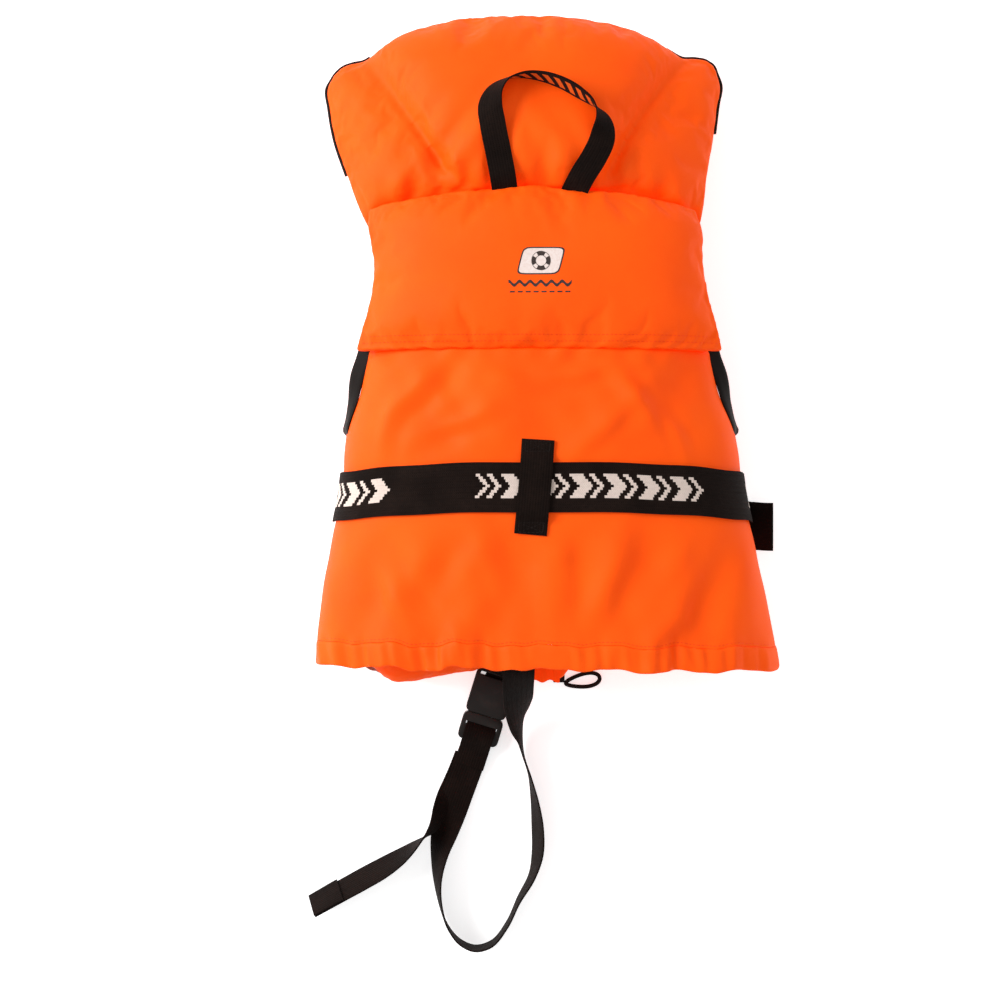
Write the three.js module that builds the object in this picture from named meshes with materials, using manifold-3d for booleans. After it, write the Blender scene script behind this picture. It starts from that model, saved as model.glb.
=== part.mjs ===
// A child's foam life jacket, zipped and buckled, lying on its front.
// Millimetres. +Y runs from the hem to the collar, +Z is the wearer's back, z = 0 is the ground.
import * as THREE from 'three';
import { mergeVertices } from 'three/addons/utils/BufferGeometryUtils.js';
import Module from 'manifold-3d';

const wasm = await Module();
wasm.setup();

// ---- Driving dimensions ----
const FULL_LENGTH = 535; // foot loop to the collar's far edge
const FOOT_OUT = 9; // how far the zip's foot loop reaches past the front hem
const HEM_WIDTH = 371; // widest point of the jacket
const SEAM_WIDTH = 278; // across the seam under the back pad
const HEM_SHORT = 14; // the back hem ends this far before the front hem
const SKIRT_LENGTH = 251; // back hem to the pad seam
const PAD_LENGTH = 124; // pad seam to the neck seam, on the centre line
const LEAN = -20; // sideways lean of the collar's far edge over the pad seam, as the jacket lies
const FLARE = 0.88; // how evenly the skirt widens towards its hem

const FRONT_THICK = 46; // front cushion
const TUNNEL_HEIGHT = 32; // room for the body between the front cushions and the pad
const PAD_THICK = 36;
const PAD_EDGE = 8; // half thickness of the pad at its seams
const PAD_DROOP = 22; // how far the pad's sides hang below its middle
const PAD_ARCH = 15; // rise of the neck seam between its corners
const PAD_TOP_WIDTH = 243;
const COLLAR_THICK = 50;
const COLLAR_WIDTH = 313; // across the collar's wings
const COLLAR_NECK_WIDTH = 268;
const COLLAR_ARCH = 30; // rise of the collar's far edge between its wing tips
const COLLAR_FALL = 32; // how far the collar's middle slopes down to its far edge
const WING_DROOP = 26; // how far the wings hang below the collar's middle
const WING_FOLD = 0.54; // where the fold between middle and wing lies, as a share of the half width
const FABRIC = 1.5; // wall of a padded cover
const SKIRT_FABRIC = 3; // outer nylon and lining together
const FIT = 0.35; // clearance between pieces that touch
const FOAM_EASE = 2.2; // clearance round the collar's foams
const SKIRT_RISE = 52; // hem's arch above the front cushions
const SEAM_RISE = 58; // the same at the pad seam
const SIDE_SEAM_HEIGHT = 24; // the skirt's side edges above the ground
const ARCH_POWER = 2.8; // squareness of the skirt's section
const HEM_FOLD = 19; // width of the hem's fold
const ARMHOLE_DEPTH = 70; // below the pad seam
const ARMHOLE_TOP = 62; // height of the armhole's upper edge
const CHEST_LENGTH = 335; // front hem to the top of the front cushion
const CHEST_WIDTH = 112; // centre line to the front cushion's outer corner
const NECKLINE_START = 303; // front hem to the foot of the neckline
const NECKLINE_HALF = 40; // half width of the neckline at the cushion's top
const ZIP_HALF_GAP = 5; // centre line to the edge of each front cushion
const SHOULDER_THICK = 18;
const SHOULDER_INNER = 58;
const SHOULDER_OUTER = 106;
const SHOULDER_LENGTH = 34;
const SHOULDER_RISE = 39;

const WEB = 1.8; // thickness of all webbing
const LAYER = WEB + 0.3; // step between two layers of webbing
const BELT_WIDTH = 39;
const BELT_UP = 142; // back hem to the belt's centre line
const BELT_DROP = 8; // how far the belt sags at the sides
const BELT_BEND = 12; // radius where the belt turns under the front
const BELT_FLOOR = 7; // height of the groove that the belt lies in
const KEEPER_WIDTH = 25;
const KEEPER_LENGTH = 72;
const KEEPER_OFF = -13; // back keeper, from the centre line
const KEEPER_TILT = 0.09;
const FRONT_KEEPER_X = 105;
const TAIL_END_X = 184;
const TAIL_LIFT_X = 158; // where the tail starts to rise
const TAIL_LIFT = 16;
const TAIL_SINK = 24; // how far the belt's tail lies below the belt
const TAIL_SINK_X = 66; // where the tail starts to leave the belt

const BUCKLE_THICK = 13.4;
const CROTCH_BUCKLE_THICK = 10;
const CROTCH_WEB = 25;
const CROTCH_BUCKLE = { x: -49, y: -42, turn: -107 * Math.PI / 180 }; // from the back hem
const ZIP_HEIGHT = 21.5; // centre of the zip's teeth above the ground
const ZIP_LENGTH = 292;
const ZIP_PITCH = 7;
const TOOTH_REACH = 2.2;
const TAPE_THICK = 1;
const PULLER_LENGTH = 26;
const LOOP_WEB = 20;
const LOOP_LENGTH = 84; // neck seam to the loop's far edge
const LOOP_FOOT_HALF = 28; // half the distance between the loop's feet
const LOOP_BELLY_HALF = 44;
const LOOP_OFF = 5; // the loop's centre, from the leaning centre line
const PIPING = 1.7; // radius
const BINDING = 6; // rolled edge of the armholes
const REFLECTOR = { width: 40, length: 96, inner: 133, thick: 0.45, up: 3 };
const PATCH = { width: 52, length: 38, up: 58, x: 3 };

// ---- Places worked out from them ----
const FRONT_HEM = FOOT_OUT - FULL_LENGTH / 2;
const COLLAR_TOP = FULL_LENGTH / 2;
const BACK_HEM = FRONT_HEM + HEM_SHORT;
const SEAM = BACK_HEM + SKIRT_LENGTH;
const NECK = SEAM + PAD_LENGTH;
const BELT = BACK_HEM + BELT_UP;
const FRONT_TOP = FRONT_HEM + CHEST_LENGTH;
const PAD_MID = FRONT_THICK + TUNNEL_HEIGHT + PAD_THICK / 2;
const ARMHOLE_FOOT = SEAM - ARMHOLE_DEPTH;

const clamp01 = (t) => Math.min(1, Math.max(0, t));
const mix = (a, b, t) => a + (b - a) * t;
const ease = (t) => clamp01(t) ** 2 * (3 - 2 * clamp01(t));
const power = (t, p) => Math.sign(t) * Math.abs(t) ** p;
const lean = (y) => LEAN * Math.sin(clamp01((y - SEAM) / (COLLAR_TOP - SEAM)) * Math.PI / 2);

// ---- Solids and booleans ----
function solid(geometry) {
  const bare = geometry.clone();
  bare.deleteAttribute('normal');
  bare.deleteAttribute('uv');
  const merged = mergeVertices(bare, 1e-3);
  return new wasm.Manifold(new wasm.Mesh({
    numProp: 3,
    vertProperties: merged.attributes.position.array,
    triVerts: new Uint32Array(merged.index.array),
  }));
}

function geometryOf(body) {
  const mesh = body.getMesh();
  const geometry = new THREE.BufferGeometry();
  geometry.setAttribute('position', new THREE.BufferAttribute(mesh.vertProperties, 3));
  geometry.setIndex(new THREE.BufferAttribute(mesh.triVerts, 1));
  const flat = geometry.toNonIndexed();
  flat.computeVertexNormals();
  return flat;
}

function cut(geometry, ...tools) {
  return geometryOf(tools.reduce((body, tool) => body.subtract(solid(tool)), solid(geometry)));
}

function join(geometry, ...more) {
  return geometryOf(more.reduce((body, part) => body.add(solid(part)), solid(geometry)));
}

function block(x0, x1, y0, y1, z0, z1) {
  const geometry = new THREE.BoxGeometry(x1 - x0, y1 - y0, z1 - z0);
  return geometry.translate((x0 + x1) / 2, (y0 + y1) / 2, (z0 + z1) / 2);
}

// A box of unit corners, each point of which is moved to place(a, b, c), with a, b, c from -1 to 1.
function warp(place, across, along, through = 1) {
  const box = new THREE.BoxGeometry(2, 2, 2, across, along, through);
  const points = box.attributes.position;
  for (let i = 0; i < points.count; i++) {
    points.setXYZ(i, ...place(points.getX(i), points.getY(i), points.getZ(i)));
  }
  box.computeVertexNormals();
  return box;
}

function mirrored(geometry) {
  const flipped = geometry.clone().scale(-1, 1, 1);
  const loose = flipped.index ? flipped.toNonIndexed() : flipped;
  const points = loose.attributes.position;
  const a = new THREE.Vector3();
  const b = new THREE.Vector3();
  for (let i = 0; i < points.count; i += 3) {
    a.fromBufferAttribute(points, i + 1);
    b.fromBufferAttribute(points, i + 2);
    points.setXYZ(i + 1, b.x, b.y, b.z);
    points.setXYZ(i + 2, a.x, a.y, a.z);
  }
  return loose;
}

// The pad, the collar and all that is sewn to them lean a little to one side.
function leaned(geometry) {
  const points = geometry.attributes.position;
  for (let i = 0; i < points.count; i++) points.setX(i, points.getX(i) + lean(points.getY(i)));
  return geometry;
}

// ---- Padded pieces ----
// spec.plan(u, v) gives the outline, spec.mid and spec.half its middle height and half thickness.
function padded(spec, inset = 0) {
  const place = (a, b, c) => {
    const u = Math.sin(a * Math.PI / 2) * (1 - inset / spec.halfWidth);
    const v = Math.sin(b * Math.PI / 2) * (1 - inset / spec.halfLength);
    const [x, y] = spec.plan(u, v);
    const z = spec.mid(u, v) + c * (spec.half(u, v) - inset);
    return [x, y, Math.max(z, inset)];
  };
  return warp(place, spec.across, spec.along);
}

const fullness = (u, v) => Math.sqrt((1 - u ** 4) * (1 - v ** 4));

const padSpec = {
  halfWidth: SEAM_WIDTH / 2,
  halfLength: PAD_LENGTH / 2,
  across: 12,
  along: 6,
  plan: (u, v) => {
    const t = (v + 1) / 2;
    const width = mix(SEAM_WIDTH, PAD_TOP_WIDTH, 1 - (1 - t) ** 2) / 2;
    return [u * width, mix(SEAM + FIT, NECK - PAD_ARCH * u * u, t)];
  },
  mid: (u) => PAD_MID - PAD_DROOP * Math.abs(u) ** 3,
  half: (u, v) => mix(PAD_EDGE, PAD_THICK / 2, fullness(u, v)),
};

const collarFold = (u) => 1 - 0.32 * Math.exp(-(((Math.abs(u) - WING_FOLD) / 0.06) ** 2));
const collarSpec = {
  halfWidth: COLLAR_WIDTH / 2,
  halfLength: (COLLAR_TOP - NECK) / 2,
  across: 16,
  along: 6,
  plan: (u, v) => {
    const t = (v + 1) / 2;
    const width = mix(COLLAR_NECK_WIDTH, COLLAR_WIDTH, Math.sin(t * Math.PI * 0.72)) / 2;
    const foot = NECK - PAD_ARCH * u * u + 2 * FIT;
    return [u * width, mix(foot, COLLAR_TOP - COLLAR_ARCH * u * u, t)];
  },
  mid: (u, v) => {
    const t = (v + 1) / 2;
    return PAD_MID - 4 - COLLAR_FALL * t ** 1.2 - WING_DROOP * Math.abs(u) ** 2.2;
  },
  half: (u, v) => mix(6, COLLAR_THICK / 2, fullness(u, v)) * collarFold(u),
};

// One of the collar's pockets, between two shares of its width.
function pocketSpec(from, to) {
  const outer = (u) => mix(from, to, (u + 1) / 2);
  const keep = 1 - FABRIC / collarSpec.halfLength;
  return {
    halfWidth: (to - from) * collarSpec.halfWidth / 2,
    halfLength: collarSpec.halfLength,
    across: 6,
    along: 5,
    plan: (u, v) => collarSpec.plan(outer(u), v * keep),
    mid: (u, v) => collarSpec.mid(outer(u), v * keep),
    half: (u, v) => (collarSpec.half(outer(u), v * keep) - FABRIC) * (0.45 + 0.55 * Math.sqrt(1 - u ** 4)),
  };
}

// Half width of the skirt, and the height of its arch, at a distance y along the jacket.
function halfAt(y) {
  const down = clamp01((SEAM - y) / SKIRT_LENGTH);
  return mix(SEAM_WIDTH, HEM_WIDTH, down ** FLARE) / 2;
}
const archTop = (y) => FRONT_THICK + mix(SEAM_RISE, SKIRT_RISE, clamp01((SEAM - y) / SKIRT_LENGTH));

function archPoint(y, angle, out) {
  const reach = 2 / ARCH_POWER;
  const rise = archTop(y) - SIDE_SEAM_HEIGHT + out;
  const x = (halfAt(y) + out) * power(Math.sin(angle), reach);
  return [x, y, SIDE_SEAM_HEIGHT + rise * Math.abs(Math.cos(angle)) ** reach];
}

// The armhole's edge on the skirt: its height, and the angle of the arch that reaches it.
function armholeHeight(y) {
  const t = clamp01((y - ARMHOLE_FOOT) / ARMHOLE_DEPTH);
  return mix(SIDE_SEAM_HEIGHT, ARMHOLE_TOP, Math.sqrt(1 - (1 - t) ** 2));
}
function armholeAngle(y) {
  const rise = (armholeHeight(y) - SIDE_SEAM_HEIGHT) / (archTop(y) - SIDE_SEAM_HEIGHT);
  return Math.acos(clamp01(rise) ** (ARCH_POWER / 2));
}

function skirtPanel(y0, y1, along) {
  const place = (a, b, c) => {
    const y = mix(y0, y1, (b + 1) / 2);
    return archPoint(y, a * armholeAngle(y), c > 0 ? 0 : -SKIRT_FABRIC);
  };
  return warp(place, 16, along);
}

// The front cushions' outer edge stays inside the skirt, then follows the armhole.
function chestEdge(y) {
  const under = halfAt(Math.min(y, ARMHOLE_FOOT)) - SKIRT_FABRIC - 1;
  const t = clamp01((y - ARMHOLE_FOOT) / (FRONT_TOP - ARMHOLE_FOOT));
  return mix(under, CHEST_WIDTH, Math.sqrt(1 - (1 - t) ** 2));
}
function neckline(y) {
  const t = clamp01((y - FRONT_HEM - NECKLINE_START) / (CHEST_LENGTH - NECKLINE_START));
  return mix(ZIP_HALF_GAP, NECKLINE_HALF, t);
}
const chestSpec = {
  halfWidth: HEM_WIDTH / 4,
  halfLength: CHEST_LENGTH / 2,
  across: 8,
  along: 10,
  plan: (u, v) => {
    const y = mix(FRONT_HEM, FRONT_TOP, (v + 1) / 2);
    return [mix(neckline(y), chestEdge(y), (u + 1) / 2), y];
  },
  mid: () => FRONT_THICK / 2,
  half: (u, v) => mix(5, FRONT_THICK / 2 + 1.5, fullness(u, v)),
};

// ---- Belt ----
const ARCH_SHARE = 0.62; // share of the belt's run that lies on the skirt's arch
const beltCentre = (s) => BELT - BELT_DROP * ease(Math.abs(s) / ARCH_SHARE);

// A point of the belt's run at s (-1 left end, 0 middle of the back, 1 right end), out from the jacket.
function beltPoint(s, y, out, ends) {
  const a = Math.abs(s);
  if (a <= ARCH_SHARE) return archPoint(y, s / ARCH_SHARE * Math.PI / 2, out);
  const side = Math.sign(s);
  const drop = SIDE_SEAM_HEIGHT - BELT_FLOOR - BELT_BEND;
  const turn = BELT_BEND * Math.PI / 2;
  const centre = halfAt(y) - BELT_BEND;
  const end = side > 0 ? ends.right : ends.left;
  const run = (a - ARCH_SHARE) / (1 - ARCH_SHARE) * (drop + turn + centre - end);
  if (run < drop) return [side * (halfAt(y) + out), y, SIDE_SEAM_HEIGHT - run];
  if (run < drop + turn) {
    const angle = (run - drop) / BELT_BEND;
    const radius = BELT_BEND + out;
    const z = BELT_FLOOR + BELT_BEND - radius * Math.sin(angle);
    return [side * (centre + radius * Math.cos(angle)), y, z];
  }
  return [side * (centre - (run - drop - turn)), y, BELT_FLOOR - out];
}

function beltSolid(width, inner, outer, ends, steps) {
  const place = (a, b, c) => {
    const y = beltCentre(a) + b * width / 2;
    return beltPoint(a, y, c > 0 ? outer : inner, ends);
  };
  return warp(place, steps, 1);
}

// A strip of webbing along Y over the back: its ends lie on the skirt, its middle over the belt.
function backKeeper() {
  const place = (a, b, c) => {
    const y = BELT + b * KEEPER_LENGTH / 2;
    const over = ease((KEEPER_LENGTH / 2 * (1 - Math.abs(b)) - 4) / 8);
    const out = FIT + LAYER * over + (c > 0 ? WEB : 0);
    const x = KEEPER_OFF + KEEPER_TILT * b * KEEPER_LENGTH / 2 + a * KEEPER_WIDTH / 2;
    const flat = clamp01(Math.abs(x) / halfAt(y)) ** ARCH_POWER;
    const rise = (archTop(y) - SIDE_SEAM_HEIGHT) * (1 - flat) ** (1 / ARCH_POWER);
    return [x, y, SIDE_SEAM_HEIGHT + rise + out + 0.3];
  };
  return warp(place, 2, 14);
}

function frontKeeper(side) {
  const y = BELT - BELT_DROP;
  const z = BELT_FLOOR - 2 * LAYER - WEB - FIT;
  const x = side * FRONT_KEEPER_X;
  const half = KEEPER_WIDTH / 2;
  return block(x - half, x + half, y - KEEPER_LENGTH / 2, y + KEEPER_LENGTH / 2, z, z + WEB);
}

// The belt's spare end leaves the male half, runs outwards under the belt and sticks out at the side.
function beltTail(start) {
  const place = (a, b, c) => {
    const x = mix(start, TAIL_END_X, (a + 1) / 2);
    const lift = TAIL_LIFT * clamp01((x - TAIL_LIFT_X) / (TAIL_END_X - TAIL_LIFT_X)) ** 2;
    const sink = TAIL_SINK * ease(clamp01((x - TAIL_SINK_X) / (TAIL_END_X - TAIL_SINK_X)));
    const y = BELT - BELT_DROP - sink + b * BELT_WIDTH / 2;
    return [x, y, BELT_FLOOR - FIT - LAYER - WEB + lift + (c > 0 ? WEB : 0)];
  };
  return warp(place, 14, 1);
}

// ---- Side-release buckle ----
// It lies flat and opens along +X. The webbing goes through a channel at each end. In the sliding
// kind the channel runs right through the male half, so its prongs start above the webbing.
function buckle(web, thick, sliding) {
  const width = web + 9;
  const rear = -(web * 0.45 + 22);
  const mouth = 4;
  const end = web * 0.45 + 16;
  const wall = 2;
  const reach = web * 0.3 + 9;
  const armY = width / 2 - 6;
  const plate = (x0, x1, half, z0, z1, corner) => {
    const shape = new THREE.Shape();
    shape.moveTo(x0 + corner, -half);
    shape.lineTo(x1 - corner, -half);
    shape.quadraticCurveTo(x1, -half, x1, -half + corner);
    shape.lineTo(x1, half - corner);
    shape.quadraticCurveTo(x1, half, x1 - corner, half);
    shape.lineTo(x0 + corner, half);
    shape.quadraticCurveTo(x0, half, x0, half - corner);
    shape.lineTo(x0, -half + corner);
    shape.quadraticCurveTo(x0, -half, x0 + corner, -half);
    const options = { depth: z1 - z0, bevelEnabled: false, curveSegments: 4 };
    return new THREE.ExtrudeGeometry(shape, options).translate(0, 0, z0);
  };
  const low = 1.9;
  const high = 7.1;
  const armLow = sliding ? high + FIT : wall + FIT;
  const channel = (x0, x1) => block(x0, x1, -web / 2 - 0.8, web / 2 + 0.8, low, high);
  const window = (side) => {
    const [y0, y1] = side > 0 ? [armY, width] : [-width, -armY];
    return block(-reach - 1, 0.5, y0, y1, wall, thick - wall);
  };
  const female = cut(
    plate(rear, mouth, width / 2, 0, thick, 5),
    block(-reach - 3, mouth + 1, -width / 2 + 2.2, width / 2 - 2.2, wall, thick - wall),
    window(1),
    window(-1),
    channel(rear - 1, rear + 8),
    block(rear + 2.5, rear + 5.5, -web / 2 - 0.8, web / 2 + 0.8, -1, thick + 1),
  );
  const inner = thick - wall - FIT - armLow;
  const male = cut(
    join(
      plate(mouth + FIT, end, width / 2, 0, thick, 5),
      block(-reach, mouth + 2, -2.5, 2.5, armLow, armLow + inner),
    ),
    channel(sliding ? mouth : mouth + 4, end + 1),
    block(mouth + 8, mouth + 11, -web / 2 - 0.8, web / 2 + 0.8, -1, thick + 1),
    block(mouth - 1, mouth + 3, armY - 3, armY + 3, wall, thick - wall),
    block(mouth - 1, mouth + 3, -armY - 3, -armY + 3, wall, thick - wall),
  );
  const arm = new THREE.Shape();
  arm.moveTo(mouth + 2.6, -1.4);
  arm.lineTo(mouth + 2.6, 1.4);
  arm.lineTo(1, 1.8);
  arm.lineTo(-0.2, 5.2);
  arm.quadraticCurveTo(-reach * 0.55, 6.2, -reach, 1.6);
  arm.lineTo(-reach, -0.6);
  const options = { depth: inner, bevelEnabled: false, curveSegments: 5 };
  const prong = new THREE.ExtrudeGeometry(arm, options).translate(0, armY, armLow);
  const other = new THREE.ExtrudeGeometry(
    new THREE.Shape(arm.getPoints(5).map((p) => new THREE.Vector2(p.x, -p.y))),
    options,
  ).translate(0, -armY, armLow);
  return { female, male, prong, other, rear, end };
}

// ---- Zip ----
const ZIP_START = FRONT_HEM + 8;
const ZIP_END = ZIP_START + ZIP_LENGTH;

function zipTape(side) {
  const inner = side > 0 ? TOOTH_REACH + FIT : -ZIP_HALF_GAP + FIT;
  const outer = side > 0 ? ZIP_HALF_GAP - FIT : -TOOTH_REACH - FIT;
  const half = TAPE_THICK / 2;
  return new THREE.BoxGeometry(outer - inner, ZIP_LENGTH, 2 * half, 1, 8, 1)
    .translate((inner + outer) / 2, (ZIP_START + ZIP_END) / 2, ZIP_HEIGHT);
}

function zipTeeth(side) {
  const root = TOOTH_REACH;
  const tip = -TOOTH_REACH + 1.2;
  const shape = new THREE.Shape();
  const first = ZIP_START + 9 + (side > 0 ? 0 : ZIP_PITCH / 2);
  const count = Math.floor((ZIP_LENGTH - 14) / ZIP_PITCH);
  shape.moveTo(root, first);
  for (let i = 0; i < count; i++) {
    const y = first + i * ZIP_PITCH;
    shape.lineTo(root - 0.8, y);
    shape.lineTo(tip, y + 0.2);
    shape.lineTo(tip, y + 1.8);
    shape.lineTo(root - 0.8, y + 2);
  }
  shape.lineTo(root, first + (count - 1) * ZIP_PITCH + 2);
  const geometry = new THREE.ExtrudeGeometry(shape, { depth: 3, bevelEnabled: false });
  geometry.translate(0, 0, ZIP_HEIGHT - 1.5);
  return side > 0 ? geometry : mirrored(geometry);
}

const SLIDER_LENGTH = 13;
const SLIDER_TOP = ZIP_END - 1;
const sliderLow = ZIP_HEIGHT - 3.4;
function zipSlider() {
  const y1 = SLIDER_TOP;
  const y0 = y1 - SLIDER_LENGTH;
  const reach = TOOTH_REACH + 1.9;
  const body = block(-reach, reach, y0, y1, sliderLow, ZIP_HEIGHT + 3.4);
  const way = TOOTH_REACH + FIT;
  const teethWay = block(-way, way, y0 - 1, y1 + 1, ZIP_HEIGHT - 1.9, ZIP_HEIGHT + 1.9);
  const tapeWay = block(-9, 9, y0 - 1, y1 + 1, ZIP_HEIGHT - 0.9, ZIP_HEIGHT + 0.9);
  const wedge = block(-0.8, 0.8, y1 - 3, y1 - 0.5, ZIP_HEIGHT - 2.5, ZIP_HEIGHT + 2.5);
  const lug = block(-1.6, 1.6, y0 + 3, y0 + 8, sliderLow - 2.6, sliderLow + 0.5);
  const eye = block(-3, 3, y0 + 4.6, y0 + 6.6, sliderLow - 1.6, sliderLow - 0.3);
  return cut(join(cut(body, teethWay, tapeWay), wedge, lug), eye);
}
const PULLER_PIVOT = SLIDER_TOP - SLIDER_LENGTH + 5.6;
const PULLER_HEIGHT = sliderLow - 0.95;
function zipPuller() {
  const y = PULLER_PIVOT;
  const z = PULLER_HEIGHT;
  const pin = block(-2.4, 2.4, y - 0.5, y + 0.5, z - 0.4, z + 0.4);
  const ears = [-1, 1].map((s) => block(s * 2.6 - 0.6, s * 2.6 + 0.6, y - 9, y + 0.6, z - 0.6, z + 0.5));
  const grip = block(-3.2, 3.2, y - PULLER_LENGTH, y - 5, z - 0.6, z + 0.5);
  const hole = block(-1.6, 1.6, y - PULLER_LENGTH + 3, y - PULLER_LENGTH + 7, z - 2, z + 2);
  return cut(join(grip, ...ears, pin), hole);
}

// The webbing tab at the zip's foot and the small loop that is held while the zip is closed.
function footTab() {
  return block(6.5, 16, FRONT_HEM - 5, FRONT_HEM + 9, 0.6, 5.6);
}
function footLoop() {
  const ring = new THREE.Shape();
  const turn = 0.16;
  const at = (t, a, b) => {
    const x = a * Math.cos(t);
    const y = b * Math.sin(t) * (1 + 0.35 * Math.cos(t));
    const [c, s] = [Math.cos(turn), Math.sin(turn)];
    return new THREE.Vector2(x * c - y * s, x * s + y * c);
  };
  const round = (a, b) => Array.from({ length: 18 }, (_, i) => at(i / 18 * 2 * Math.PI, a, b));
  ring.setFromPoints(round(15.6, 6.6));
  ring.holes.push(new THREE.Path().setFromPoints(round(12.2, 3.6)));
  return new THREE.ExtrudeGeometry(ring, { depth: 5, bevelEnabled: false })
    .translate(32, FRONT_HEM - 2.5, 0.6);
}

// ---- Grab loop: a flat loop of webbing laid on the collar ----
function grabLoop() {
  const centre = (t) => {
    const turn = Math.PI * (t - 0.5);
    const swell = Math.sin(Math.PI * Math.min(1, 2 * Math.min(t, 1 - t))) ** 0.6;
    const belly = mix(LOOP_FOOT_HALF, LOOP_BELLY_HALF, swell);
    const rise = LOOP_LENGTH - LOOP_WEB / 2;
    return new THREE.Vector2(Math.sin(turn) * belly, rise * Math.cos(turn) ** 0.7);
  };
  const steps = 22;
  const left = [];
  const right = [];
  for (let i = 0; i <= steps; i++) {
    const t = mix(0.002, 0.998, i / steps);
    const p = centre(t);
    const d = centre(Math.min(0.9999, t + 0.004)).sub(centre(Math.max(0.0001, t - 0.004))).normalize();
    const w = LOOP_WEB / 2;
    left.push(new THREE.Vector2(p.x - d.y * w, Math.max(0, p.y + d.x * w)));
    right.push(new THREE.Vector2(p.x + d.y * w, Math.max(0, p.y - d.x * w)));
  }
  const shape = new THREE.Shape([...left, ...right.reverse()]);
  const plate = new THREE.ExtrudeGeometry(shape, { depth: WEB, bevelEnabled: false });
  return plate.rotateX(-0.14).translate(LOOP_OFF + lean(NECK), NECK + 2, PAD_MID + PAD_THICK / 2 + 1);
}

// ---- Trim along edges ----
function tubeAlong(points, width, height, steps) {
  // width is across the path at its start, in the plane of its first bend; height is square to that
  const section = new THREE.Shape();
  for (let i = 0; i < 8; i++) {
    const angle = (i + 0.5) / 8 * 2 * Math.PI;
    const at = [width / 2 * Math.cos(angle), height / 2 * Math.sin(angle)];
    if (i) section.lineTo(...at);
    else section.moveTo(...at);
  }
  section.closePath();
  const path = new THREE.CatmullRomCurve3(points, false, 'centripetal');
  return new THREE.ExtrudeGeometry(section, { steps, bevelEnabled: false, extrudePath: path });
}

function piping(side) {
  const points = [];
  const out = PIPING + FIT + 2.4;
  for (let i = 0; i <= 4; i++) {
    const u = mix(0.66, 0.97, i / 4);
    const [x, y] = collarSpec.plan(u, 1);
    points.push(new THREE.Vector3(side * x, y + out, collarSpec.mid(u, 1)));
  }
  for (let i = 0; i <= 6; i++) {
    const v = mix(0.93, -0.35, i / 6);
    const [x, y] = collarSpec.plan(1, v);
    points.push(new THREE.Vector3(side * (x + out), y, collarSpec.mid(1, v)));
  }
  return leaned(tubeAlong(points, 2 * PIPING, 2 * PIPING, 18));
}

function armholeBinding(side) {
  const points = [];
  const off = BINDING / 2 + FIT + 1;
  for (let i = 0; i <= 6; i++) {
    const y = mix(SEAM - 9, ARMHOLE_FOOT + 8, i / 6);
    const [x, , z] = archPoint(y, armholeAngle(y), -SKIRT_FABRIC / 2);
    points.push(new THREE.Vector3(side * (x - 1.5), y + off, z - off * 1.5));
  }
  for (let i = 0; i <= 6; i++) {
    const y = mix(ARMHOLE_FOOT + 18, FRONT_TOP - 8, i / 6);
    points.push(new THREE.Vector3(side * (chestEdge(y) + off + 0.5), y, FRONT_THICK / 2));
  }
  return tubeAlong(points, BINDING, BINDING, 24);
}

// ---- Crotch strap: it drops from the back hem, lies on edge on the ground and comes back ----
// The points are measured from the middle of the back hem.
const strapRoute = [
  [-23.7, -1, 78], [-23.6, -13, 68], [-23.3, -28, 50], [-22.6, -43, 30], [-21.4, -57, 18],
  [-18, -79, 13], [-13, -95, 13], [-8.9, -115, 13], [-6.4, -139, 13], [-6.6, -159, 13],
  [-11, -177, 13], [-22, -197, 13], [-32, -218, 13], [-45, -233.5, 13], [-58, -237, 13],
  [-70, -232, 13], [-80, -220, 13], [-86.5, -201, 13], [-89, -181, 13], [-87.4, -160, 13],
  [-82.6, -140, 13], [-75.6, -120, 13], [-67.2, -97, 13], [-59.3, -75.5, 13],
];
const tailRoute = [
  [-65.5, -74.6, 13], [-73.4, -96, 13], [-81.8, -118, 13], [-91, -137, 13], [-102, -148, 13],
  [-117, -160, 13], [-133, -170.5, 13], [-150, -180, 13], [-169, -190, 13], [-196, -204, 13],
];
const strapThick = WEB + 0.4;
const onGround = (route) => route.map(([x, y, z]) => new THREE.Vector3(x, BACK_HEM + y, z));

// ---- Materials ----
const finish = (color, roughness, metalness = 0) => ({ color, roughness, metalness });
const ORANGE = finish(0xff6a22, 0.75);
const ORANGE_DEEP = finish(0xe9541a, 0.8);
const FOAM = finish(0xf2efe6, 0.9);
const BLACK_WEB = finish(0x1d1412, 0.8);
const BLACK_TRIM = finish(0x201715, 0.7);
const PLASTIC = finish(0x26221f, 0.45);
const SILVER = finish(0xc9ccd0, 0.35);
const WHITE = finish(0xe9e4dc, 0.6);
const STEEL = finish(0x8a8d90, 0.35, 0.9);

const jacket = new THREE.Group();
function add(name, geometry, look, parent = jacket) {
  const mesh = new THREE.Mesh(geometry, new THREE.MeshStandardMaterial(look));
  mesh.name = name;
  parent.add(mesh);
  return mesh;
}

// ---- Back pad ----
const padSlot = block(-30, 30, SEAM - 2, SEAM + 4, PAD_MID - 2, PAD_MID + 2);
add('back_pad_cover', leaned(cut(padded(padSpec), padded(padSpec, FABRIC), padSlot)), ORANGE);
add('back_pad_foam', leaned(padded(padSpec, FABRIC + FIT)), FOAM);

function backPatch() {
  const place = (a, b, c) => {
    const x = PATCH.x + a * PATCH.width / 2;
    const y = SEAM + PATCH.up + b * PATCH.length / 2;
    const u = x / (SEAM_WIDTH / 2);
    const v = (y - SEAM) / PAD_LENGTH * 2 - 1;
    const z = padSpec.mid(u) + padSpec.half(u, v) + FIT + 0.6 + (c > 0 ? 0.4 : 0);
    return [x, y, z];
  };
  return leaned(warp(place, 6, 4));
}
add('back_patch', backPatch(), WHITE);

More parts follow.
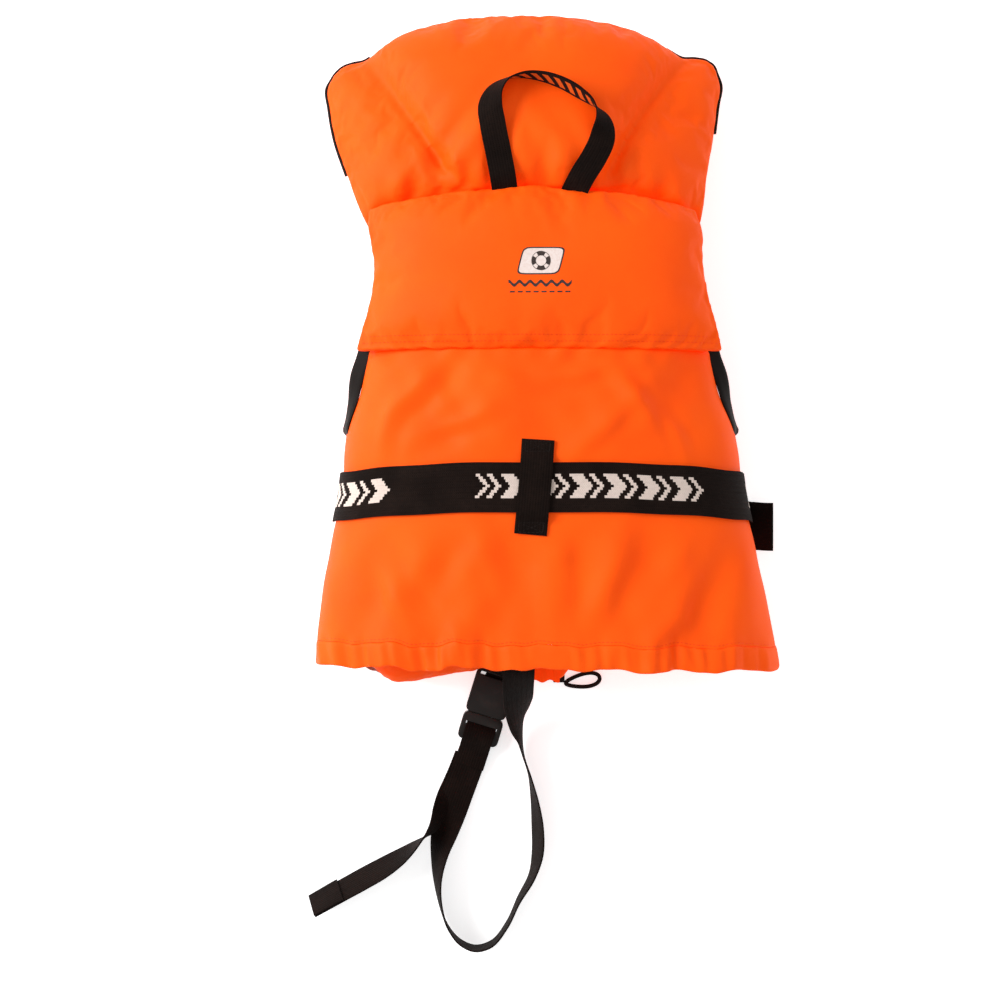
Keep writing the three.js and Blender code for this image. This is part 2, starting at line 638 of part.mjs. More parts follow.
// ---- Skirt ----
add('back_skirt', skirtPanel(BACK_HEM + HEM_FOLD + FIT, SEAM, 8), ORANGE);
add('back_hem', skirtPanel(BACK_HEM, BACK_HEM + HEM_FOLD, 1), ORANGE);

// ---- Front cushions ----
const pocketHeight = BUCKLE_THICK + 1.4;
const pocketY = BELT - BELT_DROP;
const clearBy = (grow) => [
  beltSolid(BELT_WIDTH + 2 * (5 + grow), -0.8 - grow, 60, { left: 30, right: 30 }, 26),
  block(-60 - grow, 60 + grow, pocketY - 30 - grow, pocketY + 30 + grow, -5, pocketHeight + grow),
  ...[-1, 1].map((s) => {
    const x = s * FRONT_KEEPER_X;
    const w = KEEPER_WIDTH / 2 + 1 + grow;
    const l = KEEPER_LENGTH / 2 + 1 + grow;
    const y = BELT - BELT_DROP;
    return block(x - w, x + w, y - l, y + l, -5, BELT_FLOOR - 2 * LAYER - FIT + 0.3 + grow);
  }),
  tailWay(grow),
];
function tailWay(grow) {
  const y = BELT - BELT_DROP - TAIL_SINK / 2;
  const half = BELT_WIDTH / 2 + TAIL_SINK / 2 + 3 + grow;
  return block(30, HEM_WIDTH, y - half, y + half, -5, BELT_FLOOR - LAYER + 0.3 + grow);
}
const reflectorRecess = (grow) => block(
  REFLECTOR.inner - 1 - grow,
  REFLECTOR.inner + REFLECTOR.width + 1 + grow,
  FRONT_HEM - 5,
  FRONT_HEM + REFLECTOR.length + 8 + grow,
  -5,
  0.9 + grow,
);
// A reflective patch that follows the underside of the front cushion.
function reflector() {
  const place = (a, b, c) => {
    const x = REFLECTOR.inner + (a + 1) / 2 * REFLECTOR.width;
    const y = FRONT_HEM + REFLECTOR.up + (b + 1) / 2 * REFLECTOR.length;
    const u = Math.min(1, 2 * (x - ZIP_HALF_GAP) / (chestEdge(y) - ZIP_HALF_GAP) - 1);
    const v = 2 * (y - FRONT_HEM) / CHEST_LENGTH - 1;
    const under = chestSpec.mid(u, v) - chestSpec.half(u, v);
    const top = Math.max(REFLECTOR.thick + 0.1, under - 3 * FIT);
    return [x, y, top - (c < 0 ? REFLECTOR.thick : 0)];
  };
  return warp(place, 6, 8);
}
for (const [name, side] of [['left', -1], ['right', 1]]) {
  const turnOver = (geometry) => (side > 0 ? geometry : mirrored(geometry));
  const shape = (inset) => turnOver(padded(chestSpec, inset));
  const recess = (grow) => turnOver(reflectorRecess(grow));
  const middle = FRONT_THICK / 2;
  const slot = turnOver(block(60, 110, FRONT_TOP - 4, FRONT_TOP + 2, middle - 2, middle + 2));
  const cavity = cut(shape(FABRIC), ...clearBy(FABRIC), recess(FABRIC));
  add(`front_cover_${name}`, cut(shape(0), cavity, ...clearBy(0), recess(0), slot), ORANGE);
  const foam = cut(shape(FABRIC + FIT), ...clearBy(FABRIC + FIT), recess(FABRIC + FIT));
  add(`front_foam_${name}`, foam, FOAM);
  add(`reflector_${name}`, turnOver(reflector()), SILVER);
}

function shoulder(side) {
  const place = (a, b, c) => {
    const t = (b + 1) / 2;
    const x = mix(SHOULDER_INNER, SHOULDER_OUTER, (a + 1) / 2);
    const y = FRONT_TOP + FIT + SHOULDER_LENGTH * t;
    const mid = FRONT_THICK / 2 + SHOULDER_RISE * ease(t);
    return [side * x + lean(y) * ease(t), y, mid + c * side * (SHOULDER_THICK / 2 - 3 * Math.abs(a))];
  };
  return warp(place, 4, 6);
}
add('shoulder_right', shoulder(1), ORANGE);
add('shoulder_left', shoulder(-1), ORANGE);
for (const [name, side] of [['left', -1], ['right', 1]]) {
  add(`armhole_binding_${name}`, armholeBinding(side), BLACK_TRIM);
}

// ---- Collar ----
const pockets = {
  middle: pocketSpec(-WING_FOLD + 0.03, WING_FOLD - 0.03),
  left: pocketSpec(-0.985, -WING_FOLD - 0.03),
  right: pocketSpec(WING_FOLD + 0.03, 0.985),
};
const collarSlots = Object.values(pockets).map((spec) => {
  const [x, y] = spec.plan(0, -1);
  const z = spec.mid(0, -1);
  return block(x - 12, x + 12, y - 6, y + 4, z - 1.2, z + 1.2);
});
const collarHollows = Object.values(pockets).map((pocket) => padded(pocket));
const collarShell = cut(padded(collarSpec), ...collarHollows, ...collarSlots);
add('collar_cover', leaned(collarShell), ORANGE);
for (const [name, spec] of Object.entries(pockets)) {
  add(`collar_foam_${name}`, leaned(padded(spec, FOAM_EASE)), FOAM);
}
add('collar_piping_left', piping(-1), BLACK_TRIM);
add('collar_piping_right', piping(1), BLACK_TRIM);
add('grab_loop', grabLoop(), BLACK_WEB);

// ---- Waist belt ----
const waist = buckle(BELT_WIDTH, BUCKLE_THICK, true);
const waistParts = new THREE.Group();
const WAIST_Y = BELT - BELT_DROP;
waistParts.position.set(0, WAIST_Y, 0.4);
jacket.add(waistParts);
add('waist_buckle_female', waist.female, PLASTIC, waistParts);
add('waist_buckle_male', waist.male, PLASTIC, waistParts);
add('waist_prong_upper', waist.prong, PLASTIC, waistParts);
add('waist_prong_lower', waist.other, PLASTIC, waistParts);
const beltEnds = { left: -waist.rear - 6, right: 10 };
add('waist_belt', beltSolid(BELT_WIDTH, FIT, FIT + WEB, beltEnds, 44), BLACK_WEB);
add('waist_belt_tail', beltTail(14), BLACK_WEB);
add('back_keeper', backKeeper(), BLACK_WEB);
add('front_keeper_left', frontKeeper(-1), BLACK_WEB);
add('front_keeper_right', frontKeeper(1), BLACK_WEB);

// ---- Zip ----
for (const [name, side] of [['left', -1], ['right', 1]]) {
  add(`zip_tape_${name}`, zipTape(side), BLACK_TRIM);
  add(`zip_teeth_${name}`, zipTeeth(side), PLASTIC);
}
add('zip_slider', zipSlider(), STEEL);
add('zip_puller', zipPuller(), STEEL);
const boxFloor = ZIP_HEIGHT + 1;
add('zip_foot_box', block(-2.6, 2.6, ZIP_START + 0.5, ZIP_START + 8, boxFloor, boxFloor + 3), PLASTIC);
add('zip_foot_tab', footTab(), BLACK_WEB);
add('zip_foot_loop', footLoop(), BLACK_WEB);

// ---- Crotch strap and its buckle ----
const small = buckle(CROTCH_WEB, CROTCH_BUCKLE_THICK, false);
const crotch = new THREE.Group();
crotch.position.set(CROTCH_BUCKLE.x, BACK_HEM + CROTCH_BUCKLE.y, 0.4);
crotch.rotation.z = CROTCH_BUCKLE.turn;
jacket.add(crotch);
add('crotch_buckle_female', small.female, PLASTIC, crotch);
add('crotch_buckle_male', small.male, PLASTIC, crotch);
add('crotch_prong_left', small.other, PLASTIC, crotch);
add('crotch_prong_right', small.prong, PLASTIC, crotch);
const anchor = block(small.rear - 12, small.rear + 6, -CROTCH_WEB / 2, CROTCH_WEB / 2, 3.6, 3.6 + WEB);
add('crotch_anchor_web', anchor, BLACK_WEB, crotch);
add('crotch_strap', tubeAlong(onGround(strapRoute), strapThick, CROTCH_WEB, 34), BLACK_WEB);
add('crotch_strap_tail', tubeAlong(onGround(tailRoute), CROTCH_WEB, strapThick, 14), BLACK_WEB);

export default jacket;
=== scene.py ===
import math

import bpy
import numpy as np
from mathutils import Matrix, Vector
from mathutils.bvhtree import BVHTree
from mathutils.kdtree import KDTree


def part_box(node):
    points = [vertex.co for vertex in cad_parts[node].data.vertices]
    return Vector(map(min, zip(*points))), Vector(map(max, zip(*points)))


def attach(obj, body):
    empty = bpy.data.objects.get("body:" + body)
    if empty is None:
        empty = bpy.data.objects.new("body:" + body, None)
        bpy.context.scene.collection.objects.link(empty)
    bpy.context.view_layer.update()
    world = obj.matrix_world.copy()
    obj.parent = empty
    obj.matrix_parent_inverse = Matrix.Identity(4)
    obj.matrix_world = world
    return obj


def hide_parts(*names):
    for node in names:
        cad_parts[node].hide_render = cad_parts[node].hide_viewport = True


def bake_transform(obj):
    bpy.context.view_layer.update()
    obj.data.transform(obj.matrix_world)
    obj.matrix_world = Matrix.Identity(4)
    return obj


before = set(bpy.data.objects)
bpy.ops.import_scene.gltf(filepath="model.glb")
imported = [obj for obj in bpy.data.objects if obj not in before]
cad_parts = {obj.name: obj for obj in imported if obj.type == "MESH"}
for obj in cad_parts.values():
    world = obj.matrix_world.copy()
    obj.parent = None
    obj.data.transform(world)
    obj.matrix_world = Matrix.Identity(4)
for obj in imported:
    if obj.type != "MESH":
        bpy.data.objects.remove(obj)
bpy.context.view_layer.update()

MM = 0.001

# ---- The jacket's own sizes, in millimetres ----
FRONT_HEM = -258.5
BACK_HEM = -244.5
SEAM = 6.5  # back pad to skirt
NECK = 130.5  # back pad to collar
FRONT_TOP = 76.5
ARMHOLE_FOOT = -63.5
BELT = -102.5
SKIRT_LENGTH = SEAM - BACK_HEM
FRONT_THICK = 46
SIDE_SEAM_HEIGHT = 24
ARMHOLE_TOP = 62
ARCH_POWER = 2.8
BELT_WIDTH = 39
BELT_DROP = 8
BELT_BEND = 12
BELT_FLOOR = 7
ARCH_SHARE = 0.62
WEB = 1.8
HEM_FOLD = 19
PAD_MID = 96
CROTCH_WEB = 25
CAMERA = (-0.0375, -0.1125, 1.6)


# ---- Small tools for shapes ----
def clamp01(t):
    return np.clip(t, 0.0, 1.0)


def mix(a, b, t):
    return a + (b - a) * t


def ease(t):
    t = clamp01(t)
    return t * t * (3 - 2 * t)


def power(t, p):
    return np.sign(t) * np.abs(t) ** p


def bump(t, width):
    """A smooth hump of height 1 at t = 0."""
    return np.exp(-((t / width) ** 2))


def through(x, xs, ys):
    """A smooth curve through the points xs, ys."""
    xs, ys = np.array(xs, float), np.array(ys, float)
    x = np.clip(x, xs[0], xs[-1])
    i = np.clip(np.searchsorted(xs, x) - 1, 0, len(xs) - 2)
    h = xs[i + 1] - xs[i]
    t = (x - xs[i]) / h
    slope = np.gradient(ys, xs)
    return (
        ys[i] * (2 * t**3 - 3 * t**2 + 1)
        + slope[i] * h * (t**3 - 2 * t**2 + t)
        + ys[i + 1] * (3 * t**2 - 2 * t**3)
        + slope[i + 1] * h * (t**3 - t**2)
    )


def waves(x, y, seed, length, spread=math.pi, heading=0.0, count=7):
    """Soft irregular waves of about that length. heading is the direction they run across."""
    rng = np.random.default_rng(seed)
    total = np.zeros_like(np.asarray(x, float) + np.asarray(y, float))
    for _ in range(count):
        angle = heading + rng.uniform(-spread / 2, spread / 2)
        k = 2 * math.pi / (length * rng.uniform(0.7, 1.45))
        phase = rng.uniform(0, 2 * math.pi)
        total += np.sin(k * (x * math.cos(angle) + y * math.sin(angle)) + phase)
    return total / math.sqrt(count)


def drift(y):
    """How far the jacket's centre line lies from x = 0, as it lies slightly askew."""
    return through(
        y,
        (-260, -205, -160, -90, 0, 50, 90, 115, 145, 190, 230, 275),
        (1.5, -0.5, -2.5, -3.5, -6.5, -6, -8.5, -12, -15.5, -18.5, -18, -16),
    )


# ---- Objects ----
def deselect():
    bpy.ops.object.select_all(action="DESELECT")


def choose(obj):
    deselect()
    obj.select_set(True)
    bpy.context.view_layer.objects.active = obj


def edit(obj, *steps):
    """Runs edit-mode steps on the whole of obj."""
    choose(obj)
    bpy.ops.object.mode_set(mode="EDIT")
    bpy.ops.mesh.select_all(action="SELECT")
    for step in steps:
        step()
    bpy.ops.object.mode_set(mode="OBJECT")


def outward(obj):
    edit(obj, lambda: bpy.ops.mesh.normals_make_consistent(inside=False))


def slab(name, across, along, layers=1):
    """A closed slab of quads from -1 to 1 each way, to be shaped."""
    deselect()
    bpy.ops.mesh.primitive_grid_add(
        x_subdivisions=across, y_subdivisions=along, size=2, location=(0, 0, -1)
    )
    obj = bpy.context.active_object
    obj.name = obj.data.name = name
    bpy.ops.object.transform_apply(location=True)
    bpy.ops.object.mode_set(mode="EDIT")
    bpy.ops.mesh.select_all(action="SELECT")
    for _ in range(layers):
        bpy.ops.mesh.extrude_region_move(
            TRANSFORM_OT_translate={"value": (0, 0, 2 / layers)}
        )
    bpy.ops.object.mode_set(mode="OBJECT")
    outward(obj)
    return obj


def corners(obj):
    flat = np.zeros(len(obj.data.vertices) * 3)
    obj.data.vertices.foreach_get("co", flat)
    return flat.reshape(-1, 3)


def set_corners(obj, points):
    obj.data.vertices.foreach_set("co", np.asarray(points, np.float32).ravel())
    obj.data.update()


def weave_along(obj, across, along):
    """Stores each point's place on the woven band, in metres, for its material."""
    layer = obj.data.attributes.new("weave", "FLOAT_VECTOR", "POINT")
    flat = np.zeros((len(obj.data.vertices), 3), np.float32)
    flat[:, 0] = across
    flat[:, 1] = along
    layer.data.foreach_set("vector", flat.ravel())


def shaped(obj, place):
    """Moves the slab's points: place(a, b, c) gives x, y, z in millimetres."""
    a, b, c = corners(obj).T
    set_corners(obj, np.stack(place(a, b, c), 1) * MM)
    outward(obj)
    return obj


def smooth(obj, angle=None):
    choose(obj)
    if angle is None:
        bpy.ops.object.shade_smooth()
    else:
        bpy.ops.object.shade_smooth_by_angle(angle=math.radians(angle))
    return obj


def apply_modifiers(obj):
    choose(obj)
    for modifier in list(obj.modifiers):
        bpy.ops.object.modifier_apply(modifier=modifier.name)


def subdivided(obj, levels=1):
    modifier = obj.modifiers.new("rounded", "SUBSURF")
    modifier.levels = modifier.render_levels = levels
    apply_modifiers(obj)
    return obj


def dress(obj, finish):
    obj.data.materials.clear()
    obj.data.materials.append(finish)
    return obj


def surface_of(obj):
    """A tree that answers where the shown surface of obj is."""
    return BVHTree.FromObject(obj, bpy.context.evaluated_depsgraph_get())


def top_of(tree, x, y):
    """The height and normal of the surface at x, y, in millimetres, seen from above."""
    hit, normal, _, _ = tree.ray_cast(Vector((x * MM, y * MM, 0.4)), Vector((0, 0, -1)))
    if hit is None:
        return None, None
    return hit.z / MM, normal


# ---- Camera ----
def camera():
    data = bpy.data.cameras.new("camera")
    data.sensor_width = 36
    data.lens = 69.4
    data.clip_start, data.clip_end = 0.05, 20
    obj = bpy.data.objects.new("camera", data)
    bpy.context.scene.collection.objects.link(obj)
    obj.location = CAMERA
    bpy.context.scene.camera = obj


camera()
bpy.context.scene.view_settings.view_transform = "Standard"


# ---- Materials ----
def new_material(name):
    made = bpy.data.materials.new(name)
    made.use_nodes = True
    return made, made.node_tree.nodes, made.node_tree.links


def node(nodes, kind, **values):
    made = nodes.new(kind)
    for key, value in values.items():
        setattr(made, key, value)
    return made


def maths(nodes, links, operation, first, second=None, third=None):
    made = node(nodes, "ShaderNodeMath", operation=operation)
    for socket, value in zip(made.inputs, (first, second, third)):
        if value is None:
            continue
        if hasattr(value, "is_linked"):
            links.new(value, socket)
        else:
            socket.default_value = value
    return made.outputs[0]


def blend_colours(nodes, links, share, one, two):
    made = node(nodes, "ShaderNodeMix", data_type="RGBA")
    for socket, value in ((made.inputs[0], share), (made.inputs[6], one), (made.inputs[7], two)):
        if hasattr(value, "is_linked"):
            links.new(value, socket)
        else:
            socket.default_value = value if isinstance(value, float) else (*value, 1)
    return made.outputs[2]


def remap(nodes, links, value, low, high, to_low, to_high):
    made = node(nodes, "ShaderNodeMapRange")
    links.new(value, made.inputs[0])
    for i, number in enumerate((low, high, to_low, to_high), 1):
        made.inputs[i].default_value = number
    return made.outputs[0]


def object_place(nodes):
    return node(nodes, "ShaderNodeTexCoord").outputs["Object"]


def noise(nodes, links, place, scale, detail=3.0, roughness=0.5):
    made = node(nodes, "ShaderNodeTexNoise")
    made.inputs["Scale"].default_value = scale
    made.inputs["Detail"].default_value = detail
    made.inputs["Roughness"].default_value = roughness
    links.new(place, made.inputs["Vector"])
    return made.outputs[0]


def threads(nodes, links, place, pitch, direction):
    """Ridges of threads that lie side by side along one direction."""
    made = node(nodes, "ShaderNodeTexWave", wave_type="BANDS", bands_direction=direction)
    made.inputs["Scale"].default_value = math.pi / 10 / pitch
    made.inputs["Distortion"].default_value = 0.6
    made.inputs["Detail"].default_value = 1.0
    made.inputs["Detail Scale"].default_value = 2.0
    links.new(place, made.inputs["Vector"])
    return made.outputs[1]


def relief(nodes, links, shader, height, strength, distance):
    made = node(nodes, "ShaderNodeBump")
    made.inputs["Strength"].default_value = strength
    made.inputs["Distance"].default_value = distance
    links.new(height, made.inputs["Height"])
    links.new(made.outputs[0], shader.inputs["Normal"])


def nylon(name, light, deep, thread=0.00055, soft=0.12, painted_glow=0.0):
    """Coated plain-weave nylon: fine crossed threads, slow shifts of shade and a slight sheen, with an
    optional painted glow: orange emission that lights the cloth from within as no lamp does.
    """
    made, nodes, links = new_material(name)
    shader = nodes["Principled BSDF"]
    place = object_place(nodes)
    cloudy = noise(nodes, links, place, 14, 4, 0.55)
    share = remap(nodes, links, cloudy, 0.32, 0.68, 0.0, 1.0)
    speckle = noise(nodes, links, place, 900, 2, 0.6)
    fine = remap(nodes, links, speckle, 0.3, 0.7, -0.18, 0.18)
    share = maths(nodes, links, "ADD", share, fine)
    links.new(blend_colours(nodes, links, share, deep, light), shader.inputs["Base Color"])
    warp = threads(nodes, links, place, thread, "X")
    weft = threads(nodes, links, place, thread, "Y")
    cloth = maths(nodes, links, "MAXIMUM", warp, weft)
    crinkle = noise(nodes, links, place, 160, 5, 0.6)
    height = maths(nodes, links, "MULTIPLY_ADD", crinkle, 1.4, cloth)
    relief(nodes, links, shader, height, 0.22, 0.00035)
    rough = remap(nodes, links, cloudy, 0.3, 0.7, 0.5, 0.62)
    links.new(rough, shader.inputs["Roughness"])
    shader.inputs["Sheen Weight"].default_value = soft
    shader.inputs["Sheen Roughness"].default_value = 0.45
    shader.inputs["Sheen Tint"].default_value = (*light, 1)
    shader.inputs["Specular IOR Level"].default_value = 0.11
    # Painted glow: the cloth emits orange light of its own, which brightens it everywhere.
    if painted_glow:
        shader.inputs["Emission Color"].default_value = (1.0, 0.035, 0.0, 1)
        shader.inputs["Emission Strength"].default_value = painted_glow
    return made


CREAM_YARNS = ((0.62, 0.50, 0.44), (0.84, 0.70, 0.63))
ORANGE_YARNS = ((0.62, 0.09, 0.008), (0.88, 0.16, 0.015))


def webbing(name, dark, worn, pitch=0.0016, mark=None, yarns=CREAM_YARNS):
    """Woven band: ribs across it, split into columns, with fuzzy worn threads."""
    made, nodes, links = new_material(name)
    shader = nodes["Principled BSDF"]
    band = node(nodes, "ShaderNodeAttribute", attribute_name="weave").outputs["Vector"]
    split = node(nodes, "ShaderNodeSeparateXYZ")
    links.new(band, split.inputs[0])
    across, along = split.outputs[0], split.outputs[1]
    column = maths(nodes, links, "PINGPONG", across, pitch * 1.3)
    leaning = maths(nodes, links, "ADD", along, column)
    rib = maths(nodes, links, "SINE", maths(nodes, links, "MULTIPLY", leaning, 2 * math.pi / pitch))
    groove = maths(nodes, links, "SINE", maths(nodes, links, "MULTIPLY", across, math.pi / pitch / 1.3))
    groove = maths(nodes, links, "ABSOLUTE", groove)
    height = maths(nodes, links, "MULTIPLY_ADD", rib, 0.5, groove)
    place = object_place(nodes)
    fuzz = noise(nodes, links, place, 420, 4, 0.65)
    patches = noise(nodes, links, place, 38, 3, 0.5)
    share = maths(nodes, links, "MULTIPLY", fuzz, patches)
    share = remap(nodes, links, share, 0.12, 0.42, 0.0, 1.0)
    ridge = remap(nodes, links, height, -0.4, 1.4, 0.55, 1.0)
    share = maths(nodes, links, "MULTIPLY", share, ridge)
    colour = blend_colours(nodes, links, share, dark, worn)
    if mark:
        woven = mark(nodes, links, across, along)
        yarn = blend_colours(nodes, links, fuzz, *yarns)
        colour = blend_colours(nodes, links, woven, colour, yarn)
    links.new(colour, shader.inputs["Base Color"])
    relief(nodes, links, shader, height, 0.55, 0.0004)
    links.new(remap(nodes, links, fuzz, 0.3, 0.7, 0.62, 0.8), shader.inputs["Roughness"])
    shader.inputs["Sheen Weight"].default_value = 0.02
    shader.inputs["Sheen Roughness"].default_value = 0.5
    shader.inputs["Specular IOR Level"].default_value = 0.05
    return made


def plastic(name, colour, rough=0.42):
    """Moulded plastic with a fine spark-eroded grain and rubbed patches."""
    made, nodes, links = new_material(name)
    shader = nodes["Principled BSDF"]
    place = object_place(nodes)
    rubbed = noise(nodes, links, place, 60, 5, 0.6)
    lighter = tuple(min(1.0, c * 1.7 + 0.004) for c in colour)
    share = remap(nodes, links, rubbed, 0.45, 0.75, 0.0, 1.0)
    links.new(blend_colours(nodes, links, share, colour, lighter), shader.inputs["Base Color"])
    worn_rough = remap(nodes, links, rubbed, 0.3, 0.7, rough - 0.07, rough + 0.1)
    links.new(worn_rough, shader.inputs["Roughness"])
    relief(nodes, links, shader, noise(nodes, links, place, 1500, 2, 0.5), 0.12, 0.0001)
    shader.inputs["Specular IOR Level"].default_value = 0.26
    return made


def lacquered_metal(name, colour):
    made, nodes, links = new_material(name)
    shader = nodes["Principled BSDF"]
    place = object_place(nodes)
    worn = noise(nodes, links, place, 180, 4, 0.6)
    share = remap(nodes, links, worn, 0.5, 0.72, 0.0, 1.0)
    links.new(blend_colours(nodes, links, share, colour, (0.42, 0.41, 0.4)), shader.inputs["Base Color"])
    links.new(remap(nodes, links, worn, 0.3, 0.7, 0.28, 0.46), shader.inputs["Roughness"])
    shader.inputs["Metallic"].default_value = 0.9
    return made


def reflective(name):
    """Glass-bead tape: silver with a small diamond grid pressed into it."""
    made, nodes, links = new_material(name)
    shader = nodes["Principled BSDF"]
    place = object_place(nodes)
    turn = node(nodes, "ShaderNodeMapping")
    turn.inputs["Rotation"].default_value = (0, 0, math.radians(45))
    links.new(place, turn.inputs[0])
    grid = maths(
        nodes,
        links,
        "MAXIMUM",
        threads(nodes, links, turn.outputs[0], 0.003, "X"),
        threads(nodes, links, turn.outputs[0], 0.003, "Y"),
    )
    links.new(
        blend_colours(nodes, links, grid, (0.52, 0.53, 0.55), (0.7, 0.71, 0.72)),
        shader.inputs["Base Color"],
    )
    relief(nodes, links, shader, grid, 0.3, 0.0003)
    links.new(remap(nodes, links, grid, 0, 1, 0.4, 0.28), shader.inputs["Roughness"])
    shader.inputs["Metallic"].default_value = 0.35
    return made


def foam_finish(name):
    made, nodes, links = new_material(name)
    shader = nodes["Principled BSDF"]
    place = object_place(nodes)
    cells = node(nodes, "ShaderNodeTexVoronoi")
    cells.inputs["Scale"].default_value = 700
    links.new(place, cells.inputs["Vector"])
    tone = noise(nodes, links, place, 45, 3, 0.5)
    links.new(
        blend_colours(nodes, links, tone, (0.82, 0.8, 0.74), (0.93, 0.92, 0.88)),
        shader.inputs["Base Color"],
    )
    relief(nodes, links, shader, cells.outputs[0], 0.3, 0.0003)
    shader.inputs["Roughness"].default_value = 0.9
    return made


def ink(name, one, two):
    made, nodes, links = new_material(name)
    shader = nodes["Principled BSDF"]
    place = object_place(nodes)
    worn = noise(nodes, links, place, 520, 4, 0.6)
    share = remap(nodes, links, worn, 0.35, 0.7, 0.0, 1.0)
    links.new(blend_colours(nodes, links, share, one, two), shader.inputs["Base Color"])
    links.new(remap(nodes, links, worn, 0.3, 0.7, 0.38, 0.55), shader.inputs["Roughness"])
    relief(nodes, links, shader, threads(nodes, links, place, 0.00055, "X"), 0.1, 0.0002)
    return made


def woven_chevrons(nodes, links, across, along):
    """Generic pale chevrons woven into the belt, with the stepped edges of a loom."""
    row = maths(nodes, links, "SNAP", across, 0.0021)
    step = maths(nodes, links, "SNAP", along, 0.0011)
    slant = maths(nodes, links, "MULTIPLY", maths(nodes, links, "ABSOLUTE", row), 0.85)
    lead = maths(nodes, links, "ADD", step, slant)
    repeat = maths(nodes, links, "FLOORED_MODULO", lead, 0.0265)
    broad = maths(nodes, links, "LESS_THAN", repeat, 0.0105)
    thin_from = maths(nodes, links, "GREATER_THAN", repeat, 0.0155)
    thin_to = maths(nodes, links, "LESS_THAN", repeat, 0.0195)
    thin = maths(nodes, links, "MULTIPLY", thin_from, thin_to)
    bars = maths(nodes, links, "MAXIMUM", broad, thin)
    inside = maths(nodes, links, "LESS_THAN", maths(nodes, links, "ABSOLUTE", row), 0.0105)
    windows = None
    for low, high in ((-0.29, -0.118), (-0.046, 0.128), (0.19, 0.33)):
        above = maths(nodes, links, "GREATER_THAN", lead, low)
        below = maths(nodes, links, "LESS_THAN", lead, high)
        window = maths(nodes, links, "MULTIPLY", above, below)
        windows = window if windows is None else maths(nodes, links, "MAXIMUM", windows, window)
    shown = maths(nodes, links, "MULTIPLY", bars, inside)
    return maths(nodes, links, "MULTIPLY", shown, windows)


def reverse_dashes(nodes, links, across, along):
    """Slanting dashes woven into the reverse of the grab loop only."""
    band = node(nodes, "ShaderNodeAttribute", attribute_name="weave").outputs["Vector"]
    split = node(nodes, "ShaderNodeSeparateXYZ")
    links.new(band, split.inputs[0])
    reverse = maths(nodes, links, "LESS_THAN", split.outputs[2], -0.5)
    slant = maths(nodes, links, "MULTIPLY_ADD", across, 0.55, along)
    stripe = maths(nodes, links, "PINGPONG", slant, 0.0046)
    dash = maths(nodes, links, "GREATER_THAN", stripe, 0.0022)
    inner = maths(nodes, links, "LESS_THAN", maths(nodes, links, "ABSOLUTE", across), 0.0062)
    return maths(nodes, links, "MULTIPLY", reverse, maths(nodes, links, "MULTIPLY", dash, inner))


ORANGE = (0.94, 0.110, 0.003)
ORANGE_DEEP = (0.90, 0.090, 0.002)
# The orange cloth and orange thread get a painted glow: an orange emission that lights them from within.
orange_nylon = nylon("orange nylon", ORANGE, ORANGE_DEEP, painted_glow=0.22)
orange_thread = nylon("orange thread", (0.85, 0.085, 0.01), (0.75, 0.06, 0.008), 0.0003, painted_glow=0.1)
black_binding = nylon(
    "black binding tape", (0.008, 0.0042, 0.003), (0.005, 0.0026, 0.0018), 0.0006, 0.01
)
black_webbing = webbing("black webbing", (0.0042, 0.0019, 0.0012), (0.014, 0.0072, 0.0052))
belt_webbing = webbing(
    "belt webbing", (0.0058, 0.0028, 0.0019), (0.017, 0.0092, 0.0068), 0.0017, woven_chevrons
)
loop_webbing = webbing(
    "grab loop webbing",
    (0.0042, 0.0019, 0.0012),
    (0.014, 0.0072, 0.0052),
    mark=reverse_dashes,
    yarns=ORANGE_YARNS,
)
black_thread = nylon("black thread", (0.022, 0.015, 0.013), (0.010, 0.007, 0.006), 0.0003, 0.02)
black_plastic = plastic("black acetal", (0.010, 0.0075, 0.006))
zip_lacquer = lacquered_metal("dark lacquered metal", (0.05, 0.05, 0.052))
silver_tape = reflective("silver reflective tape")
white_foam = foam_finish("closed-cell foam")
pale_print = ink("pale print", (0.86, 0.74, 0.70), (0.78, 0.62, 0.56))
dark_print = ink("dark print", (0.02, 0.012, 0.01), (0.05, 0.025, 0.018))


# ---- Bands and straps ----
def spine(points, count):
    """count + 1 evenly spaced rows on a smooth curve through the rows of points, and their run."""
    rows = np.array(points, float)
    steps = np.linalg.norm(np.diff(rows[:, :3], axis=0), axis=1)
    knots = np.concatenate([[0], np.cumsum(steps)])
    dense_run = np.linspace(0, knots[-1], count * 6)
    dense = np.stack([through(dense_run, knots, column) for column in rows.T], 1)
    steps = np.linalg.norm(np.diff(dense[:, :3], axis=0), axis=1)
    run = np.concatenate([[0], np.cumsum(steps)])
    even = np.linspace(0, run[-1], count + 1)
    return np.stack([np.interp(even, run, column) for column in dense.T], 1), even


def unit(rows):
    return rows / np.maximum(np.linalg.norm(rows, axis=1, keepdims=True), 1e-9)


def band(name, middle, over, width, thick, cells=8, taper=0.35):
    """A woven band: middle holds its centre line and over its width's direction, row by row."""
    count = len(middle) - 1
    tangent = unit(np.gradient(middle, axis=0))
    over = unit(over - tangent * np.sum(over * tangent, axis=1, keepdims=True))
    face = np.cross(over, tangent)
    steps = np.linalg.norm(np.diff(middle, axis=0), axis=1)
    run = np.concatenate([[0], np.cumsum(steps)])
    obj = slab(name, cells, count)
    a, b, c = corners(obj).T
    row = np.rint((b + 1) / 2 * count).astype(int)
    wide = np.broadcast_to(width, len(middle))[row] / 2 * a
    deep = c * thick / 2 * (1 - taper * np.abs(a) ** 6)
    place = middle[row] + over[row] * wide[:, None] + face[row] * deep[:, None]
    set_corners(obj, place * MM)
    layer = obj.data.attributes.new("weave", "FLOAT_VECTOR", "POINT")
    values = np.stack([wide * MM, run[row] * MM, c], 1).astype(np.float32)
    layer.data.foreach_set("vector", values.ravel())
    outward(obj)
    return smooth(obj, 50)


